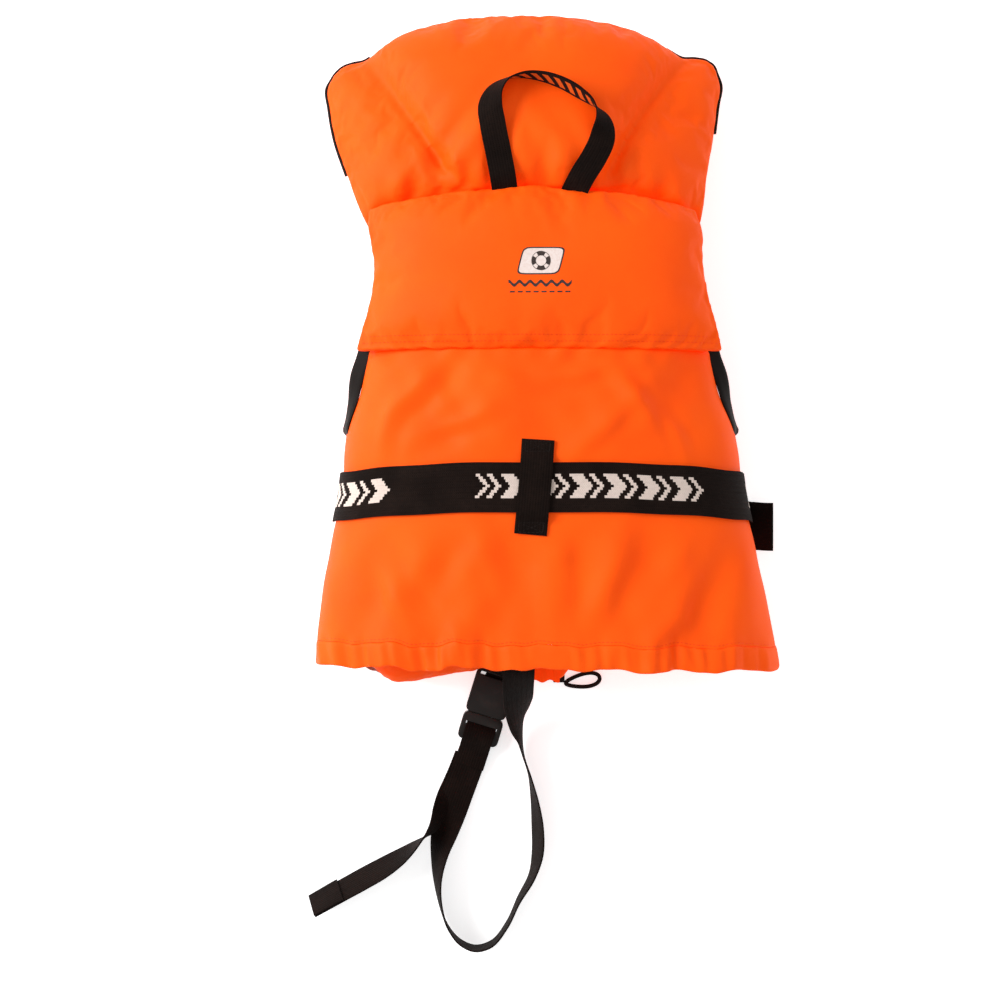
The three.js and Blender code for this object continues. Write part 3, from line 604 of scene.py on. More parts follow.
def strap(name, points, width, thick, count, cells=8):
    """A band through rows of x, y, z, tilt; tilt 0 lies flat and 90 stands on its edge."""
    line, run = spine(points, count)
    middle = line[:, :3]
    tangent = unit(np.gradient(middle, axis=0))
    side = unit(np.cross(tangent, (0, 0, 1)))
    rise = np.cross(side, tangent)
    tilt = np.radians(line[:, 3:4])
    over = np.cos(tilt) * side + np.sin(tilt) * rise
    return band(name, middle, over, width, thick, cells), middle, over, run[-1]


def tube(name, middle, radius, sides=4):
    """A round piping or cord along the rows of middle, in millimetres."""
    deselect()
    data = bpy.data.curves.new(name, "CURVE")
    data.dimensions = "3D"
    data.bevel_depth = radius * MM
    data.bevel_resolution = sides
    data.use_fill_caps = True
    line = data.splines.new("POLY")
    line.points.add(len(middle) - 1)
    for point, place in zip(line.points, middle):
        point.co = (*(np.array(place) * MM), 1)
    obj = bpy.data.objects.new(name, data)
    bpy.context.scene.collection.objects.link(obj)
    choose(obj)
    bpy.ops.object.convert(target="MESH")
    obj = bpy.context.active_object
    edit(
        obj,
        lambda: bpy.ops.mesh.remove_doubles(threshold=1e-5),
        lambda: bpy.ops.mesh.normals_make_consistent(inside=False),
    )
    return smooth(obj, 60)


def refined(cad_node, name, edge=0.0005):
    """A CAD piece copied, its loose triangles merged, and its edges rounded."""
    obj = bpy.data.objects.new(name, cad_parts[cad_node].data.copy())
    bpy.context.scene.collection.objects.link(obj)
    edit(
        obj,
        lambda: bpy.ops.mesh.remove_doubles(threshold=1e-6),
        lambda: bpy.ops.mesh.dissolve_limited(angle_limit=math.radians(2)),
    )
    rounding = obj.modifiers.new("rounded edges", "BEVEL")
    rounding.width = edge
    rounding.segments = 2
    rounding.limit_method = "ANGLE"
    rounding.angle_limit = math.radians(40)
    rounding.use_clamp_overlap = True
    apply_modifiers(obj)
    smooth(obj, 35)
    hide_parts(cad_node)
    return obj


def stitches(name, places, directions, normals, body, finish, length=2.5, thick=0.5):
    """A row of sewn stitches at the places, all one piece."""
    deselect()
    bpy.ops.mesh.primitive_uv_sphere_add(segments=6, ring_count=5, radius=1)
    one = bpy.context.active_object
    shape = corners(one)
    faces = [tuple(p.vertices) for p in one.data.polygons]
    bpy.data.objects.remove(one)
    shape = np.stack([power(shape[:, 2], 0.6), shape[:, 0], shape[:, 1]], 1)
    points, polygons = [], []
    along, up = unit(np.array(directions, float)), np.array(normals, float)
    up = unit(up - along * np.sum(along * up, axis=1, keepdims=True))
    across = np.cross(up, along)
    for i, place in enumerate(np.array(places, float)):
        start = len(points) * len(shape)
        points.append(
            place
            + shape[:, :1] * along[i] * length / 2
            + shape[:, 1:2] * across[i] * thick / 2
            + shape[:, 2:] * up[i] * thick / 2
        )
        polygons += [tuple(v + start for v in face) for face in faces]
    data = bpy.data.meshes.new(name)
    data.from_pydata((np.concatenate(points) * MM).tolist(), [], polygons)
    obj = bpy.data.objects.new(name, data)
    bpy.context.scene.collection.objects.link(obj)
    outward(obj)
    smooth(obj)
    dress(obj, finish)
    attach(obj, body)
    return obj


def sewn(name, obj, line, body, finish, pitch=3.3, sink=0.05):
    """Stitches along a line of x, y on top of obj."""
    tree = surface_of(obj)
    line = np.array(line, float)
    steps = np.linalg.norm(np.diff(line, axis=0), axis=1)
    run = np.concatenate([[0], np.cumsum(steps)])
    spots = np.arange(pitch / 2, run[-1], pitch)
    xs, ys = np.interp(spots, run, line[:, 0]), np.interp(spots, run, line[:, 1])
    places, normals = [], []
    for x, y in zip(xs, ys):
        z, normal = top_of(tree, x, y)
        if z is None:
            continue
        places.append((x, y, z + sink))
        normals.append(tuple(normal))
    directions = np.gradient(np.array(places), axis=0)
    return stitches(name, places, directions, normals, body, finish)


# ---- Crotch strap: it hangs from the back hem, lies on the ground and returns to its buckle ----
STRAP_ROUTE = (
    (-22.0, 16, 86.5, 0), (-22.6, -1, 84, 0), (-23, -13, 74, 5), (-22.8, -28, 55, 18),
    (-22.2, -43, 34, 45), (-21.2, -58, 19, 76), (-18, -79, 13.8, 90), (-13, -95, 13.8, 94),
    (-8.9, -115, 13.4, 103), (-6.4, -139, 12.9, 111), (-6.6, -159, 13.1, 109),
    (-11, -177, 13.7, 99), (-22, -197, 13.8, 93), (-32, -218, 13.8, 91), (-45, -233.5, 13.8, 90),
    (-58, -237, 13.8, 89), (-70, -232, 13.8, 88), (-80, -220, 13.8, 86), (-86.5, -201, 13.8, 82),
    (-89, -181, 13.6, 74), (-87.4, -160, 12, 56), (-82.6, -140, 8.6, 28), (-75.6, -120, 5.4, 6),
    (-67.2, -97, 4.6, 0), (-59.6, -76.5, 5.2, 0),
)
TAIL_ROUTE = (
    (-62.8, -80, 2.4, 0), (-69.5, -97, 1.6, 0), (-76.5, -112, 2.6, 8), (-84, -126, 7.6, 34),
    (-92.5, -138.5, 12.2, 66), (-103, -148.5, 13.7, 90), (-117, -160, 13.3, 110),
    (-133, -170.5, 12.2, 122), (-150, -180, 11.8, 125), (-169, -190.5, 11.8, 124),
    (-192, -203.5, 11.8, 122),
)


def from_hem(route):
    return [(x, y + BACK_HEM, z, tilt) for x, y, z, tilt in route]


crotch_strap, strap_line, _, strap_run = strap(
    "crotch_strap_loop", from_hem(STRAP_ROUTE), CROTCH_WEB, WEB, 150
)
crotch_tail, tail_line, tail_over, tail_run = strap(
    "crotch_strap_spare_end", from_hem(TAIL_ROUTE), CROTCH_WEB, WEB, 76
)
# The spare end is folded back on itself and sewn.
fold_rows = slice(-12, None)
fold_face = np.cross(tail_over[-1], unit(np.gradient(tail_line, axis=0))[-1])
end_fold = band(
    "crotch_strap_sewn_fold",
    tail_line[fold_rows] - fold_face * (WEB + 0.15),
    tail_over[fold_rows],
    CROTCH_WEB + 0.4,
    WEB,
)
# Short webbing between the hem and the buckle.
ANCHOR_ROUTE = (
    (-30.0, 17, 66, 0), (-31.5, 2, 48, 0), (-34.2, -8, 22, 0), (-37.2, -15, 7.4, 0),
    (-40.5, -22, 5.2, 0),
)
anchor_web, _, _, _ = strap("crotch_anchor_webbing", from_hem(ANCHOR_ROUTE), CROTCH_WEB, WEB, 40)
TURN_ROUTE = (
    (-51.4, -50.5, 4.5, 0), (-52.6, -54.2, 8.6, 0), (-54.2, -59.0, 12.0, 0), (-56.0, -64.5, 12.6, 0),
    (-57.8, -70.5, 10.0, 0), (-59.6, -76.5, 6.9, 0), (-61.4, -82, 6.5, 0), (-63.4, -88, 6.4, 0),
)
turn_web, _, _, _ = strap("crotch_strap_turn", from_hem(TURN_ROUTE), CROTCH_WEB, WEB, 24)
crotch_female = refined("crotch_buckle_female", "crotch_buckle_housing", 0.0007)
crotch_male = refined("crotch_buckle_male", "crotch_buckle_clip", 0.0007)
crotch_prongs = [
    refined("crotch_prong_left", "crotch_buckle_prong_left", 0.0004),
    refined("crotch_prong_right", "crotch_buckle_prong_right", 0.0004),
]
for piece in (crotch_strap, crotch_tail, end_fold, anchor_web, turn_web):
    dress(piece, black_webbing)
    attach(piece, "root")
for piece, body in zip(
    (crotch_female, crotch_male, *crotch_prongs),
    ("root", "root", "crotch_prong_left", "crotch_prong_right"),
):
    dress(piece, black_plastic)
    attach(piece, body)
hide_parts("crotch_strap")
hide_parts("crotch_strap_tail")
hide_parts("crotch_anchor_web")


# ---- Back panel: one sheet arched over the jacket, cut away at the armholes ----
def widen(y):
    return through(
        y,
        (-260, -248, -219, -189, -160, -120, -86, -71, -57, -27, -13, 8),
        (2.6, 2.8, 4.3, 4.7, 3.2, 2.6, 3.2, 4.6, 5.2, 1.6, 1.8, 3.4),
    )


def half_width(y):
    down = clamp01((SEAM - y) / SKIRT_LENGTH)
    return mix(278, 371, down**0.88) / 2


def arch_top(y):
    return FRONT_THICK + mix(58, 52, clamp01((SEAM - y) / SKIRT_LENGTH))


def arch_point(y, angle, out, extra=0.0):
    reach = 2 / ARCH_POWER
    rise = arch_top(y) - SIDE_SEAM_HEIGHT + out
    x = (half_width(y) + extra + out) * power(np.sin(angle), reach)
    return x + drift(y), y, SIDE_SEAM_HEIGHT + rise * np.abs(np.cos(angle)) ** reach


def armhole_angle(y):
    t = clamp01((y - ARMHOLE_FOOT) / (SEAM - ARMHOLE_FOOT))
    height = mix(SIDE_SEAM_HEIGHT, ARMHOLE_TOP, np.sqrt(np.maximum(0, 1 - (1 - t) ** 2)))
    rise = (height - SIDE_SEAM_HEIGHT) / (arch_top(y) - SIDE_SEAM_HEIGHT)
    return np.arccos(clamp01(rise) ** (ARCH_POWER / 2))


def belt_centre(share):
    return BELT - BELT_DROP * ease(np.abs(share) / ARCH_SHARE)


# Creases: x, y, lean in radians, half length, half width and height.
CREASES = (
    (-96, -26, 0.75, 34, 7, 2.6), (-64, -52, 0.35, 30, 6, 1.7), (-118, -58, 1.25, 22, 6, 1.8),
    (70, -30, 2.2, 36, 7, 2.6), (100, -58, 2.0, 26, 6, 1.9), (28, -14, 0.2, 40, 6, 1.2),
    (-20, -24, 2.75, 34, 7, 1.5), (-40, -170, 1.9, 46, 9, 1.9), (48, -168, 1.15, 48, 9, 2.1),
    (112, -176, 0.95, 46, 9, 2.0), (-118, -182, 2.15, 44, 9, 1.8), (84, -214, 0.55, 34, 8, 1.4),
    (-78, -214, 2.5, 32, 8, 1.3), (1, -200, 1.57, 48, 5, 1.6),
)


def back_folds(angle, y):
    """How far the cloth stands out from, or sinks below, its plain arch."""
    x = half_width(y) * power(np.sin(angle), 2 / ARCH_POWER)
    edge = 1 - 0.85 * np.abs(angle / (math.pi / 2)) ** 5
    belt = belt_centre(angle / (math.pi / 2) * ARCH_SHARE)
    lower = ease((belt - 20 - y) / 46)
    upper = ease((y - belt - 20) / 30) * ease((SEAM + 2 - y) / 22)
    hanging = waves(x - 0.12 * (y + 180), y * 0.28, 11, 58, 0.9, 0.0, 6)
    slack = waves(x, y, 29, 74, 1.5, 0.5, 6)
    fine = waves(x, y, 8, 31, 3.1, 0.4, 8)
    # Folds that run down from the keeper and out from the armholes.
    keeper_fold = 3.6 * bump(x - 12 - 0.05 * (y + 150), 10) * ease((-138 - y) / 20)
    keeper_fold -= 2.4 * bump(x + 8, 13) * ease((-142 - y) / 24)
    arm_left = 4.0 * bump((x + 78) + 0.72 * (y + 34), 13) * bump(y + 36, 34)
    arm_right = 3.8 * bump((x - 56) - 0.95 * (y + 46), 12) * bump(y + 48, 30)
    creases = 0.0
    for px, py, lean, long, wide, high in CREASES:
        dx, dy = x - px, y - py
        run = dx * math.cos(lean) + dy * math.sin(lean)
        off = -dx * math.sin(lean) + dy * math.cos(lean)
        ridge = bump(off - 0.012 * run * run / wide, wide) - 0.7 * bump(off + 1.9 * wide, wide)
        creases = creases + high * ridge * bump(run, long)
    corner = -1.6 * bump(x + 96, 22) * bump(y + 22, 24) - 1.4 * bump(x - 100, 20) * bump(y + 26, 22)
    pinch = -2.3 * bump(y - belt, 20) * (1 - 0.4 * bump(x, 60))
    gathers = waves(x, y * 0.2, 3, 15, 0.5, 0.0, 6) * ease((BACK_HEM + 30 - y) / 16)
    seam_gathers = waves(x, y * 0.4, 17, 24, 0.7, 0.0, 6) * ease((y - SEAM + 17) / 15)
    pucker = -1.9 * bump(x - 5, 3.2) * ease((BACK_HEM + 26 - y) / 18)
    total = (
        2.5 * lower * hanging
        + 2.0 * upper * slack
        + 0.62 * fine * (lower + upper)
        + keeper_fold
        + creases
        + arm_left
        + arm_right
        + corner
        + 0.7 * gathers
        + 0.6 * seam_gathers
        + pucker
    )
    return total * edge + pinch


def hem_line(x):
    """The hem isn't quite straight: it waves a little and hangs lower on the right."""
    return (
        -3.2 * ease((x + 40) / 190)
        + 1.3 * waves(x, 0 * x, 43, 62, 0.3, 0.0, 5)
        + 0.5 * waves(x, 0 * x, 47, 17, 0.3, 0.0, 5)
    )


def back_panel():
    foot = BACK_HEM + HEM_FOLD + 0.3

    def place(a, b, c):
        y = mix(foot, SEAM + 7, (b + 1) / 2)
        angle = a * armhole_angle(y)
        tucked = -13 * ease((y - SEAM + 2.5) / 8)
        out = back_folds(angle, y) + np.where(c > 0, 0.0, -3.0) + tucked
        x, _, z = arch_point(y, angle, out, widen(y) - tucked)
        return x, y + hem_line(x) * bump(y - foot, 60), z

    obj = smooth(shaped(slab("back_panel", 230, 150, 2), place), 60)
    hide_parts("back_skirt")
    return dress(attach(obj, "root"), orange_nylon)


def hem_tunnel():
    """The hem is turned up over a draw cord, so it is a soft puckered tube."""

    def place(a, b, c):
        y = mix(BACK_HEM, BACK_HEM + HEM_FOLD, (b + 1) / 2)
        angle = a * armhole_angle(y)
        full = np.sqrt(np.maximum(0.0, 1 - np.abs(b) ** 3.2))
        out = back_folds(angle, y) - 1.5 + c * mix(1.3, 2.15, full)
        x0 = half_width(y) * power(np.sin(angle), 2 / ARCH_POWER)
        out = out + c * full * 0.42 * waves(x0, y * 0.5, 61, 9.5, 0.8, 0.25, 6)
        x, _, z = arch_point(y, angle, out, widen(y))
        return x, y + hem_line(x), z

    obj = smooth(shaped(slab("hem_tunnel", 330, 14, 3), place), 70)
    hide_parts("back_hem")
    return dress(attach(obj, "root"), orange_nylon)


# ---- Padded pieces ----
def outline(count, point):
    """The seam round a padded piece's edge, where point(u, v) gives x, y, z."""
    t, edge = np.linspace(-1, 1, count), np.ones(count)
    sides = ((t, -edge), (t, edge), (-edge, t), (edge, t))
    return np.concatenate([np.stack(point(u, v), 1) for u, v in sides])


def puffed(obj, seam, cap, grow=0.035, voxel=3.4, pressure=4.0, bending=0.35, fixed=None):
    """The cover is remeshed and blown up as cloth from its seams, which hold still."""
    choose(obj)
    obj.data.remesh_voxel_size = voxel * MM
    bpy.ops.object.voxel_remesh()
    before = corners(obj)
    tree = KDTree(len(seam))
    for i, place in enumerate(seam):
        tree.insert(Vector(np.array(place) * MM), i)
    tree.balance()
    held = np.array([tree.find(Vector(p))[2] for p in before])
    weights = 1 - ease((held / MM - 2.0) / 6.0)
    if fixed is not None:
        weights = np.maximum(weights, fixed(before / MM))
    group = obj.vertex_groups.new(name="seams")
    for i, weight in enumerate(weights):
        if weight > 0.01:
            group.add([i], float(weight), "REPLACE")
    cloth = obj.modifiers.new("cloth", "CLOTH")
    settings = cloth.settings
    settings.quality = 6
    settings.mass = 0.25
    settings.tension_stiffness = settings.compression_stiffness = 18
    settings.shear_stiffness = 6
    settings.bending_stiffness = bending
    settings.use_pressure = True
    settings.uniform_pressure_force = pressure
    settings.shrink_min = -grow
    settings.vertex_group_mass = "seams"
    settings.effector_weights.gravity = 0
    cloth.collision_settings.use_collision = False
    for step in range(1, 21):
        bpy.context.scene.frame_set(step)
    shown = obj.evaluated_get(bpy.context.evaluated_depsgraph_get())
    flat = np.zeros(len(shown.data.vertices) * 3)
    shown.data.vertices.foreach_get("co", flat)
    moved = flat.reshape(-1, 3) - before
    reach = np.linalg.norm(moved, axis=1, keepdims=True)
    limit = cap * MM
    moved *= limit * np.tanh(reach / limit) / np.maximum(reach, 1e-9)
    obj.modifiers.remove(cloth)
    obj.vertex_groups.remove(group)
    bpy.context.scene.frame_set(1)
    set_corners(obj, before + moved)
    subdivided(obj, 1)
    return smooth(obj)


def filling(cover, name, nodes, cuts=(), gap=2.6):
    """The foam inside a cover: the cover's own shape, a little smaller, cut into its blocks."""
    obj = bpy.data.objects.new(name, cover.data.copy())
    bpy.context.scene.collection.objects.link(obj)
    choose(obj)
    obj.data.remesh_voxel_size = 0.006
    bpy.ops.object.voxel_remesh()
    shrink = obj.modifiers.new("smaller", "DISPLACE")
    shrink.strength = -gap * MM
    shrink.mid_level = 0
    apply_modifiers(obj)
    made = []
    for i, (node_name, planes) in enumerate(zip(nodes, cuts or ((),) * len(nodes))):
        block = obj
        if len(nodes) > 1:
            block = bpy.data.objects.new(f"{name}_{i + 1}", obj.data.copy())
            bpy.context.scene.collection.objects.link(block)
        for place, normal in planes:
            edit(
                block,
                lambda place=place, normal=normal: bpy.ops.mesh.bisect(
                    plane_co=np.array(place) * MM, plane_no=normal, use_fill=True, clear_outer=True
                ),
            )
        outward(block)
        smooth(block, 50)
        dress(block, white_foam)
        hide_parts(node_name)
        made.append(block)
    if len(nodes) > 1:
        bpy.data.objects.remove(obj)
    return made


def fullness(u, v):
    return np.sqrt(np.maximum(0, (1 - u**4) * (1 - v**4)))


# Back pad
def pad_half(y):
    return through(y, (0, 6.5, 28, 57, 85, 114, 131), (144.5, 144.0, 139.0, 132.5, 130.0, 131.0, 128.5))


def pad_place(u, v):
    t = (v + 1) / 2
    y = mix(SEAM - 1.2, NECK - 15 * u * u + 1.4 * waves(u * 120, 0 * u, 5, 80, 0.3, 0, 4), t)
    return u * pad_half(mix(SEAM, NECK, t)) + drift(y), y


def pad_mid(u):
    return PAD_MID - 22 * np.abs(u) ** 3


def back_pad():
    def place(a, b, c):
        u, v = np.sin(a * math.pi / 2), np.sin(b * math.pi / 2)
        x, y = pad_place(u, v)
        deep = mix(6.5, 17.0, fullness(u, v) ** 0.8)
        soft = 0.8 * waves(x, y, 77, 70, 3, 0, 6)
        return x, y, pad_mid(u) + c * deep + soft * fullness(u, v)

    obj = shaped(slab("back_pad", 110, 56, 6), place)
    puffed(obj, outline(90, lambda u, v: (*pad_place(u, v), pad_mid(u))), 6)
    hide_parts("back_pad_cover")
    dress(obj, orange_nylon)
    foam = filling(obj, "back_pad_filling", ("back_pad_foam",))[0]
    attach(obj, "root")
    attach(foam, "root")
    return obj


# Collar
# The collar's top edge: each share of its half width and the height there.
COLLAR_U = (
    -1, -0.97, -0.93, -0.88, -0.82, -0.76, -0.66, -0.5, -0.3, 0,
    0.3, 0.5, 0.66, 0.74, 0.8, 0.88, 0.94, 0.98, 1,
)
COLLAR_Y = (
    222, 230, 236, 239, 240.5, 246, 256, 265.5, 271, 272.5,
    270, 264, 254, 247.5, 243, 243, 240.5, 234, 224,
)
# Its half width at each share of the way up.
COLLAR_RISE = (0, 0.1, 0.25, 0.37, 0.61, 0.845, 0.96, 1)
COLLAR_HALF = (129, 134, 139.5, 143, 151, 156, 158.3, 157.5)


def collar_half(t):
    return through(t, COLLAR_RISE, COLLAR_HALF)


def crease_at(t):
    return mix(0.40, 0.80, t**0.9)


def collar_place(u, v):
    t = (v + 1) / 2
    foot = NECK - 15 * u * u - 0.4 - 17 * ease((np.abs(u) - 0.68) / 0.32)
    y = mix(foot, through(u, COLLAR_U, COLLAR_Y), t)
    return u * collar_half(t) + drift(y), y


def collar_mid(u, v):
    t = (v + 1) / 2
    ear = 4.0 * ease((np.abs(u) - 0.86) / 0.14) * ease((t - 0.35) / 0.5)
    tuck = -7 * ease((0.16 - t) / 0.16) * ease((np.abs(u) - 0.6) / 0.3)
    return PAD_MID - 5 - 30 * t**1.2 - 24 * np.abs(u) ** 2.2 + ear + tuck


def collar():
    def place(a, b, c):
        u, v = np.sin(a * math.pi / 2), np.sin(b * math.pi / 2)
        x, y = collar_place(u, v)
        t = (v + 1) / 2
        off = np.abs(u) - crease_at(t)
        wing = 0.34 * ease((off + 0.03) / 0.10)
        crease = 0.58 * bump(off, 0.038) * ease((t - 0.02) / 0.12) * (1 - 0.45 * t)
        deep = mix(4.2, 24.0, fullness(u, v) ** 0.9) * (1 - wing - crease)
        # gathers where the collar is sewn to the pad
        gathers = waves(x, y * 0.25, 31, 26, 0.5, 0.0, 6) * bump(t - 0.06, 0.12)
        rays = waves(x * 1.0 + (y - NECK) * 0.7 * np.sign(x - drift(y)), 0 * x, 37, 40, 0.3, 0, 5)
        lift = np.where(c > 0, 1.0, 0.6)
        z = collar_mid(u, v) + c * deep
        valley = -4.5 * bump(t - 0.03, 0.07) * (1 - u**4)
        z = z + lift * (2.6 * gathers + 1.7 * rays * bump(t - 0.25, 0.25)) * fullness(u, v)
        z = z + np.where(c > 0, valley, 0)
        return x, y, z

    obj = shaped(slab("collar", 150, 76, 6), place)

    def in_crease(p):
        x, y = p[:, 0] - drift(p[:, 1]), p[:, 1]
        t = clamp01((y - 118) / 130)
        off = np.abs(x) / collar_half(t) - crease_at(t)
        return 0.9 * bump(off, 0.05) * ease((t - 0.05) / 0.1)

    seam = outline(110, lambda u, v: (*collar_place(u, v), collar_mid(u, v)))
    puffed(obj, seam, 6, fixed=in_crease)
    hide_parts("collar_cover")
    dress(obj, orange_nylon)
    # The foam is three blocks, one for the middle and one for each wing.
    left, right = (-94.5, 168, 0), (71, 180, 0)
    lean_left, lean_right = (0.74, 0.67, 0), (-0.85, 0.52, 0)

    def shifted(place, normal, by):
        return tuple(np.array(place) + np.array(normal) * by)

    def flip(normal):
        return tuple(-np.array(normal))

    # The foam stops short of the seam, so that the collar can fold there.
    foot = ((0, 154, 0), (0, -1, 0))
    cuts = (
        (
            foot,
            (shifted(left, lean_left, 7), flip(lean_left)),
            (shifted(right, lean_right, 7), flip(lean_right)),
        ),
        (foot, (shifted(left, lean_left, -7), lean_left)),
        (foot, (shifted(right, lean_right, -7), lean_right)),
    )
    names = ("collar_foam_middle", "collar_foam_left", "collar_foam_right")
    blocks = filling(obj, "collar_filling", names, cuts, 4.2)
    for block in blocks:
        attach(block, "collar")
    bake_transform(obj)
    return obj


def collar_piping(name, side, first, last, node_name):
    """Piping in the seam of one ear: over its top from share first, then down its side to last."""
    rows = []
    for u in np.linspace(first, 0.985, 26):
        x, y = collar_place(np.array([side * u]), np.array([0.985]))
        rows.append((x[0], y[0] + 1.4, collar_mid(np.array([side * u]), np.array([1.0]))[0]))
    for v in np.linspace(0.93, last, 40):
        x, y = collar_place(np.array([side * 0.995]), np.array([v]))
        rows.append((x[0] + side * 1.5, y[0], collar_mid(np.array([side * 1.0]), np.array([v]))[0]))
    line, _ = spine(np.array(rows), 90)
    obj = tube(name, line, 1.7)
    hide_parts(node_name)
    dress(obj, black_binding)
    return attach(obj, "collar")


# ---- Front cushions ----
def chest_edge(y):
    under = half_width(np.minimum(y, ARMHOLE_FOOT)) - 4.5
    t = clamp01((y - ARMHOLE_FOOT) / (FRONT_TOP - ARMHOLE_FOOT))
    return mix(under, 112, np.sqrt(np.maximum(0, 1 - (1 - t) ** 2)))


def neckline(y):
    return mix(5.0, 40, clamp01((y - FRONT_HEM - 303) / 32))


def floor_under(x, y):
    """The height below which a front cushion doesn't reach: the belt and its buckle run there."""
    belt = BELT - BELT_DROP
    groove = (BELT_FLOOR + 1.2) * (1 - ease((np.abs(y - belt) - 22) / 8))
    buckle = 16.0 * (1 - ease((np.abs(y - belt) - 27) / 8)) * (1 - ease((np.abs(x) - 62) / 12))
    keeper = 5.0 * (1 - ease((np.abs(y - belt) - 38) / 6))
    keeper = keeper * (1 - ease((np.abs(np.abs(x) - 105) - 15) / 6))
    tail = 7.0 * (1 - ease((np.abs(y - belt + 12) - 34) / 7)) * ease((x - 50) / 20)
    tape = 1.0 * (1 - ease((np.abs(np.abs(x) - 153) - 21) / 3)) * (1 - ease((y + 156) / 5))
    return np.maximum.reduce([groove, buckle, keeper, tail, tape])


FRONT_FOOT = (
    (-182, -245), (-152, -246), (-140, -249), (-132, -257), (-122, -261), (-108, -260),
    (-93, -257.6), (-75, -254), (-60, -252), (-46, -248), (-36, -246), (-16, -250),
    (-9, -257), (0, -260), (7, -260), (14, -257), (22, -245), (182, -243),
)


def front_foot(x):
    """The front hem's line: it only shows below the back hem left of the middle."""
    return np.interp(x, [row[0] for row in FRONT_FOOT], [row[1] for row in FRONT_FOOT])


def front_cushion(name, side, cover_node, foam_node):
    def plan(u, v):
        y = mix(FRONT_HEM, FRONT_TOP, (v + 1) / 2)
        x = side * mix(neckline(y), chest_edge(y), (u + 1) / 2)
        return x, y + (front_foot(x) - FRONT_HEM) * ((1 - v) / 2) ** 3

    def place(a, b, c):
        u, v = np.sin(a * math.pi / 2), np.sin(b * math.pi / 2)
        x, y = plan(u, v)
        deep = mix(4.5, FRONT_THICK / 2 + 1, fullness(u, v) ** 0.9)
        z = FRONT_THICK / 2 + c * deep
        return x, y, np.maximum(z, floor_under(x, y) + 0.35)

    obj = shaped(slab(name, 60, 110, 6), place)
    seam = outline(120, lambda u, v: (*plan(u, v), FRONT_THICK / 2 + 0 * u))
    puffed(obj, seam, 4, voxel=4.2, fixed=lambda p: 1 - ease((p[:, 2] - 3) / 9))
    points = corners(obj) / MM
    x, y = points[:, 0], points[:, 1]
    points[:, 2] = np.clip(points[:, 2], floor_under(x, y) + 0.35, FRONT_THICK + 2)
    inner, outer = neckline(y) - 0.6, chest_edge(y) + 0.4
    points[:, 0] = side * np.clip(side * x, np.minimum(inner, 4.9), outer)
    set_corners(obj, points * MM)
    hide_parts(cover_node)
    dress(obj, orange_nylon)
    foam = filling(obj, name + "_filling", (foam_node,))[0]
    for piece, fill in ((obj, 0.9), (foam, 1.0)):
        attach(piece, "root")
    return obj


def zip_facing():
    """A small piece of the cloth sewn across behind the zip's foot."""

    def place(a, b, c):
        x = 0.6 + a * 10.5
        y = mix(-260.2, -232, (b + 1) / 2) + 1.2 * np.sin(x * 0.5)
        return x, y, 28.4 + c * 1.1 + 0.8 * np.sin(x * 0.6 + 1)

    obj = smooth(shaped(slab("zip_foot_facing", 20, 26), place), 50)
    return dress(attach(obj, "root"), orange_nylon)


def reflector(name, side, node_name, cushion):
    """A reflective patch under the foot of a front cushion, turned up over its hem."""
    tree = surface_of(cushion)

    def underside(x, y):
        hits = []
        for px, py in zip(x, y):
            hit = tree.ray_cast(Vector((px * MM, py * MM, -0.01)), Vector((0, 0, 1)))[0]
            hits.append(hit.z / MM if hit else 20.0)
        return np.array(hits)

    def place(a, b, c):
        x = side * (151 + a * 17)
        foot = front_foot(x) + 1.0 - (5.5 * bump(x + 143, 9) if side < 0 else 0)
        y = mix(foot, FRONT_HEM + 98, (b + 1) / 2)
        lift = 15.5 * clamp01((foot + 13 - y) / 14) ** 2
        under = np.where(foot + 9 > y, 0.9 + lift, underside(x, np.maximum(y, foot + 9)))
        return x, y, np.maximum(np.minimum(under, 14 + lift) - 0.62, 0.15) + (c + 1) / 2 * 0.4

    obj = smooth(shaped(slab(name, 24, 60), place), 60)
    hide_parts(node_name)
    return dress(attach(obj, "root"), silver_tape)


def shoulder(name, node_name):
    """The shoulder piece that joins a front cushion to the back pad."""
    low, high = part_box(node_name)
    centre, reach = (low + high) / 2 / MM, (high - low) / 2 / MM

    def place(a, b, c):
        round_off = np.sqrt(np.maximum(0.0, (1 - 0.5 * b**4) * (1 - 0.5 * c**4)))
        x = centre.x + a * reach.x * mix(0.86, 1.0, round_off)
        y = centre.y + b * reach.y * np.sqrt(1 - 0.42 * c**2 * b**2)
        z = centre.z + c * reach.z * np.sqrt(1 - 0.3 * b**2) * np.sqrt(1 - 0.25 * a**4)
        return x, y, z + 0.6 * waves(x, y + z, 15, 18, 2, 0, 5)

    obj = smooth(shaped(slab(name, 22, 18, 20), place))
    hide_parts(node_name)
    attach(obj, "root")
    return dress(obj, orange_nylon)


